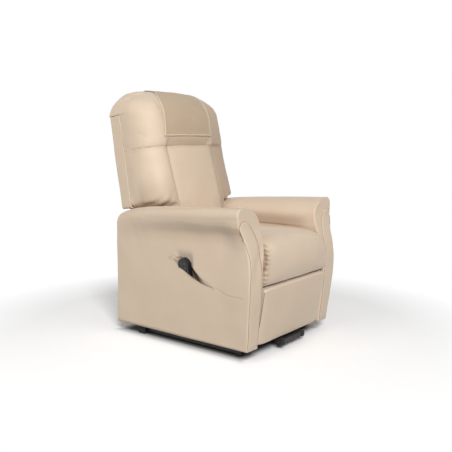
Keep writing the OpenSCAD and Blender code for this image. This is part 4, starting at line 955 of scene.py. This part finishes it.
def back_ring(h, w, d0, d1, deep, sunk, seam_x=155):
    """w: reach to the left and right; behind the front both sides draw in to the frame's width"""
    depth = across(back_shares, deep, sunk) * min(1, (d1 - d0) / 150)
    places = spread(back_shares, w, min(seam_x, w[0] * seam_share))
    front = [[x, d0 + a, h] for x, a in zip(places, depth)]
    ends = []
    for (x, d, _), sign in ((front[-1], 1), (front[0], -1)):
        half = min(frame_half, abs(x))
        side = [[sign * mix(abs(x), half, f ** 0.8), mix(d, d1 - 2, f), h] for f in (0.2, 0.4, 0.6, 0.8)]
        side += [[sign * (half - 2.5 * (1 - math.cos(a))), d1 - 2 + 2 * math.sin(a), h]
                 for a in arc(0, 90, 5)]
        ends.append(side + [[sign * half * f, d1, h] for f in np.linspace(0.8, 0.07, 10)])
    return front + ends[0] + ends[1][::-1]


def seam_line(h):
    """The middle channel narrows a little downwards"""
    return mix(150, 155, ease(200, 500, h))


def cushion_held(p):
    x, d, h = to_back(p)
    seam = ease(9, 3, np.abs(np.abs(x) - seam_line(h))) * (d < -60)
    return np.maximum.reduce([seam, ease(0, 12, d), ease(140, 132, h), ease(514, 522, h)])


def cushion_dress(p, n):
    x, d, h = to_back(p)
    a = np.abs(x)
    front = ease(-30, -70, d)
    away = a - seam_line(h)
    seam = bell(away, 4.2) * front * np.where(x > 0, 0.5, 1)
    wide = bell(away, 15) * front * np.where(x > 0, 0.1, 1)
    fades = np.exp(-(np.maximum(away - 3, 0) / 14)) * (away > 0) * front
    pucker = np.sin(h / 7.5 + 1.2 * np.sin(h / 23)) * fades
    foot = bell(h - 262, 30) * ease(165, 200, a) * front
    fold = foot * np.sin((a - 165) / 7.5 + (h - 262) / 13)
    top = bell(h - 524, 7) * front
    push = -2.4 * seam - 1.8 * wide + 0.5 * pucker + 3.2 * fold + ripple(p, 150, 2.7) * 1.3 - 1.2 * top
    # Painted shade: the far channel and the near one's foot are painted darker, as are the seams and the top
    # edge
    channel_painted_shade = (0.42 * ease(120, 175, x) + 0.28 * ease(440, 280, h) * ease(-150, -185, x)) * front
    return p + n * push[:, None], np.clip(seam * 0.3 + top * 0.15 + channel_painted_shade, 0, 1)


rings = []
for f in steps((0, 0.008, 2), (0.02, 0.28, 18), (0.29, 0.42, 18), (0.43, 1, 50)):
    full = smooth(cushion_rows, f, 2)
    reach = [mix(foot_half, half, full) for half in cushion_halves]
    rings.append(back_ring(mix(cushion_foot, cushion_top, f), reach, front_d * smooth(cushion_rows, f, 1),
                           cushion_rear, 3, 2, seam_line(mix(cushion_foot, 525.6, f))))
upholster("back_cushion_cover", from_back(np.array(rings)), 2, cushion_dress, "back", "back_cushion",
          fill=0.75, held=cushion_held, shrink=2.5)

# Head pillow: a full roll sewn on above the back cushion and wrapped over the top of the
# frame, fuller at both sides than in the middle.
pillow_foot, pillow_top, pillow_rear, pillow_halves = 523, 840, 89, (265, 280)
pillow_rows = [[0, 0.91, 0, 0.998, 0.998], [0.03, 0.935, 0, 1, 1], [0.1, 0.96, 0, 1, 1],
               [0.3, 0.965, 0, 1, 1], [0.45, 0.94, 0, 1, 1], [0.5556, 0.9, 0, 1, 1], [0.5572, 0.898, 1, 1, 1],
               [0.64, 0.82, 0.98, 0.97, 0.998], [0.74, 0.65, 0.86, 0.915, 0.985],
               [0.82, 0.45, 0.7, 0.83, 0.95], [0.88, 0.27, 0.54, 0.74, 0.88],
               [0.92, 0.12, 0.4, 0.66, 0.79], [0.938, 0.02, 0.3, 0.58, 0.7]]


def pillow_held(p):
    _, d, h = to_back(p)
    return np.maximum.reduce([ease(0, 12, d) * ease(706, 698, h), ease(536, 530, h), ease(70, 84, d)])


def pillow_dress(p, n):
    x, d, h = to_back(p)
    a = np.abs(x)
    front = ease(-20, -60, d)
    low = bell(h - 529, 6) * front
    gather = np.sin(a / 6.1) * np.exp(-np.maximum(h - 530, 0) / 20) * front * (a > 130)
    side = bell(h - 700, 3.5) * ease(-25, 5, d) * (a > 200)
    under = 20 * (1 - ease(0, 50, h - 526)) * (1 - ease(134, 166, a)) * front
    push = -1.4 * low + 0.5 * gather + ripple(p, 140, 6.6) * 1.3 - 1.5 * side
    shade = low * 0.2 + side * 0.3 + 0.36 * ease(130, 180, x) * front
    tucked = under[:, None] * np.array([0, back_cos, -back_sin])
    return p + n * push[:, None] + tucked, np.clip(shade, 0, 1)


rings = []
for f in steps((0, 0.02, 3), (0.03, 0.552, 46), (0.5556, 0.5572, 2), (0.565, 0.92, 46), (0.923, 0.938, 6)):
    reach = [half * smooth(pillow_rows, f, column) for half, column in zip(pillow_halves, (3, 4))]
    rings.append(back_ring(mix(pillow_foot, pillow_top, f), reach, front_d * smooth(pillow_rows, f, 1),
                           mix(cushion_rear, pillow_rear, smooth(pillow_rows, f, 2)), 2, 1))
pillow = upholster("head_pillow_cover", from_back(np.array(rings)), 2, pillow_dress, "back", "head_pillow",
                   fill=0.75, held=pillow_held, shrink=2.5)

# Head cover: a loose cloth laid over the pillow to keep it clean, hemmed all round. It hangs a
# hand's width down the front and as far down behind, and is narrowest over the top.
cover_cloth = Finish("cover_cloth")
at = cover_cloth.place()
warp, weft = (cover_cloth.node("TexWave", {"wave_type": "BANDS", "bands_direction": axis},
                               {"Vector": at, "Scale": 420, "Distortion": 0.4}, 1) for axis in "XZ")
cloud = cover_cloth.noise(at, 7, 3)
hem = cover_cloth.node("Attribute", {"attribute_name": "crease"}, None, 2)
plain = cover_cloth.blend(cloud * 0.5, tone(191, 170, 144), tone(175, 152, 125))
plain = cover_cloth.blend(warp * weft * 0.2, plain, tone(158, 136, 110))
weave = cover_cloth.bump(warp + weft, 0.0003, 0.5, cover_cloth.bump(cloud, 0.004, 0.3))
cover_finish = cover_cloth.surface(Base_Color=cover_cloth.blend(hem.low(1.0), plain, tone(226, 208, 182)),
                                   Roughness=0.66 + (cloud - 0.5) * 0.1, Normal=weave, Sheen_Weight=0.12,
                                   Sheen_Roughness=0.5, Specular_IOR_Level=0.35)
cover_half, cover_low, middle_h, front_share, turn_share = 155, 572, 705.0, 0.34, 0.66
columns_x, rows_long, cut_wide = 56, 90, 0.37
cover_shares = [[0, 1.1, 1], [0.29, 1.03, 1.08], [0.68, 0.84, 1.22], [0.91, 0.6, 1.28], [1.1, 0.53, 1.28]]


def from_edge(i, j):
    return min(i, j, columns_x - 1 - j, rows_long - 1 - i)


# A fan of rays from inside the pillow, turning from low at the front, over the top, to the rear,
# finds where the cloth lies. It is then drawn smooth and set a little off the pillow.
tree = hit_tree(pillow)
grid = np.zeros((rows_long, columns_x, 3))
for i in range(rows_long):
    f = i / (rows_long - 1)
    back, up, h = -1.0, 0.0, mix(cover_low, middle_h, f / front_share)
    if f >= front_share:
        a = math.radians(mix(180, 0, (f - front_share) / turn_share))
        back, up, h = math.cos(a), math.sin(a), middle_h
    rise = min(1.1, max(0.0, (h - cover_low + max(0, up) * 125) / 268))
    for j in range(columns_x):
        s = 2 * j / (columns_x - 1) - 1
        x = s * cover_half * float(smooth(cover_shares, rise, 1 if s < 0 else 2))
        start = from_back(np.array([x, 0.0, h])) / 1000
        ahead = from_back(np.array([x, back, h + up])) / 1000 - start
        hit, normal = tree.ray_cast(Vector(start), Vector(ahead).normalized(), 0.4)[:2]
        if hit is None:
            hit, normal = tree.find_nearest(Vector(start + ahead * 150))[:2]
        grid[i, j] = np.array(hit + normal * 0.0012) * 1000
for _ in range(3):
    inner = (grid[:-2, 1:-1] + grid[2:, 1:-1] + grid[1:-1, :-2] + grid[1:-1, 2:]) / 4
    grid[1:-1, 1:-1] = mix(grid[1:-1, 1:-1], inner, 0.5)
for i, j in np.ndindex(rows_long, columns_x):
    near, normal = tree.find_nearest(Vector(grid[i, j] / 1000))[:2]
    stand = 0.0014 + 0.0016 * max(0.0, 1 - from_edge(i, j) / 4)
    grid[i, j] = np.array(near + normal * stand) * 1000
faces = [(i * columns_x + j, i * columns_x + j + 1, (i + 1) * columns_x + j + 1, (i + 1) * columns_x + j)
         for i in range(rows_long - 1) for j in range(columns_x - 1)]
mesh = plain_mesh("head_cover_cloth", grid.reshape(-1, 3), faces)
mesh.materials.append(cover_finish)
for face in mesh.polygons:
    face.use_smooth = True
hemmed = [0.8 if from_edge(i, j) < 2 else 0.0 for i, j in np.ndindex(rows_long, columns_x)]
mesh.attributes.new("crease", "FLOAT", "POINT").data.foreach_set("value", hemmed)
cover = placed("head_cover_cloth", mesh)
fold = cover.modifiers.new("cloth", "SOLIDIFY")
fold.thickness, fold.offset = 0.0012, 1
settle(cover, "back", "cover_cloth", "head_cover")
hem_path = ([(i, 2) for i in range(rows_long - 3, 1, -1)] + [(2, j) for j in range(3, columns_x - 2)]
            + [(i, columns_x - 3) for i in range(3, rows_long - 2)])
hem_rows = [grid[i, j] + np.array(tree.find_nearest(Vector(grid[i, j] / 1000))[1]) * 1.5 for i, j in hem_path]
hem_thread = run_rule("cover_stitches", stitches, hem_rows, Spacing=0.005, Length=0.0034, Thickness=0.0007,
                      Thread=thread)
settle(hem_thread, "back", "cover_cloth")

# Handset: a two-part black ABS shell with a satin grey key panel and four round rubber keys,
# standing head up in the arm's pocket.
abs_black = worn("handset_abs", (18, 19, 20), (28, 29, 30), wear=(30, 3), share=0.6, rough=(0.42, 0.15),
                 grain=(1500, 2), relief=(0.00015, 0.6))
panel_grey = worn("key_panel", (24, 25, 26), (33, 34, 35), wear=(40, 3), rough=(0.5, 0.1),
                  grain=(1300, 2), relief=(0.0001, 0.5))
key_grey = worn("key_rubber", (72, 74, 76), (58, 60, 62), wear=(60, 3), rough=(0.6, 0.1),
                grain=(1500, 2), relief=(0.0001, 0.5))
dress(abs_black, "handset_shell")
dress(panel_grey, "handset_keypad")
dress(key_grey, "key_raise", "key_lower", "key_back", "key_legs")
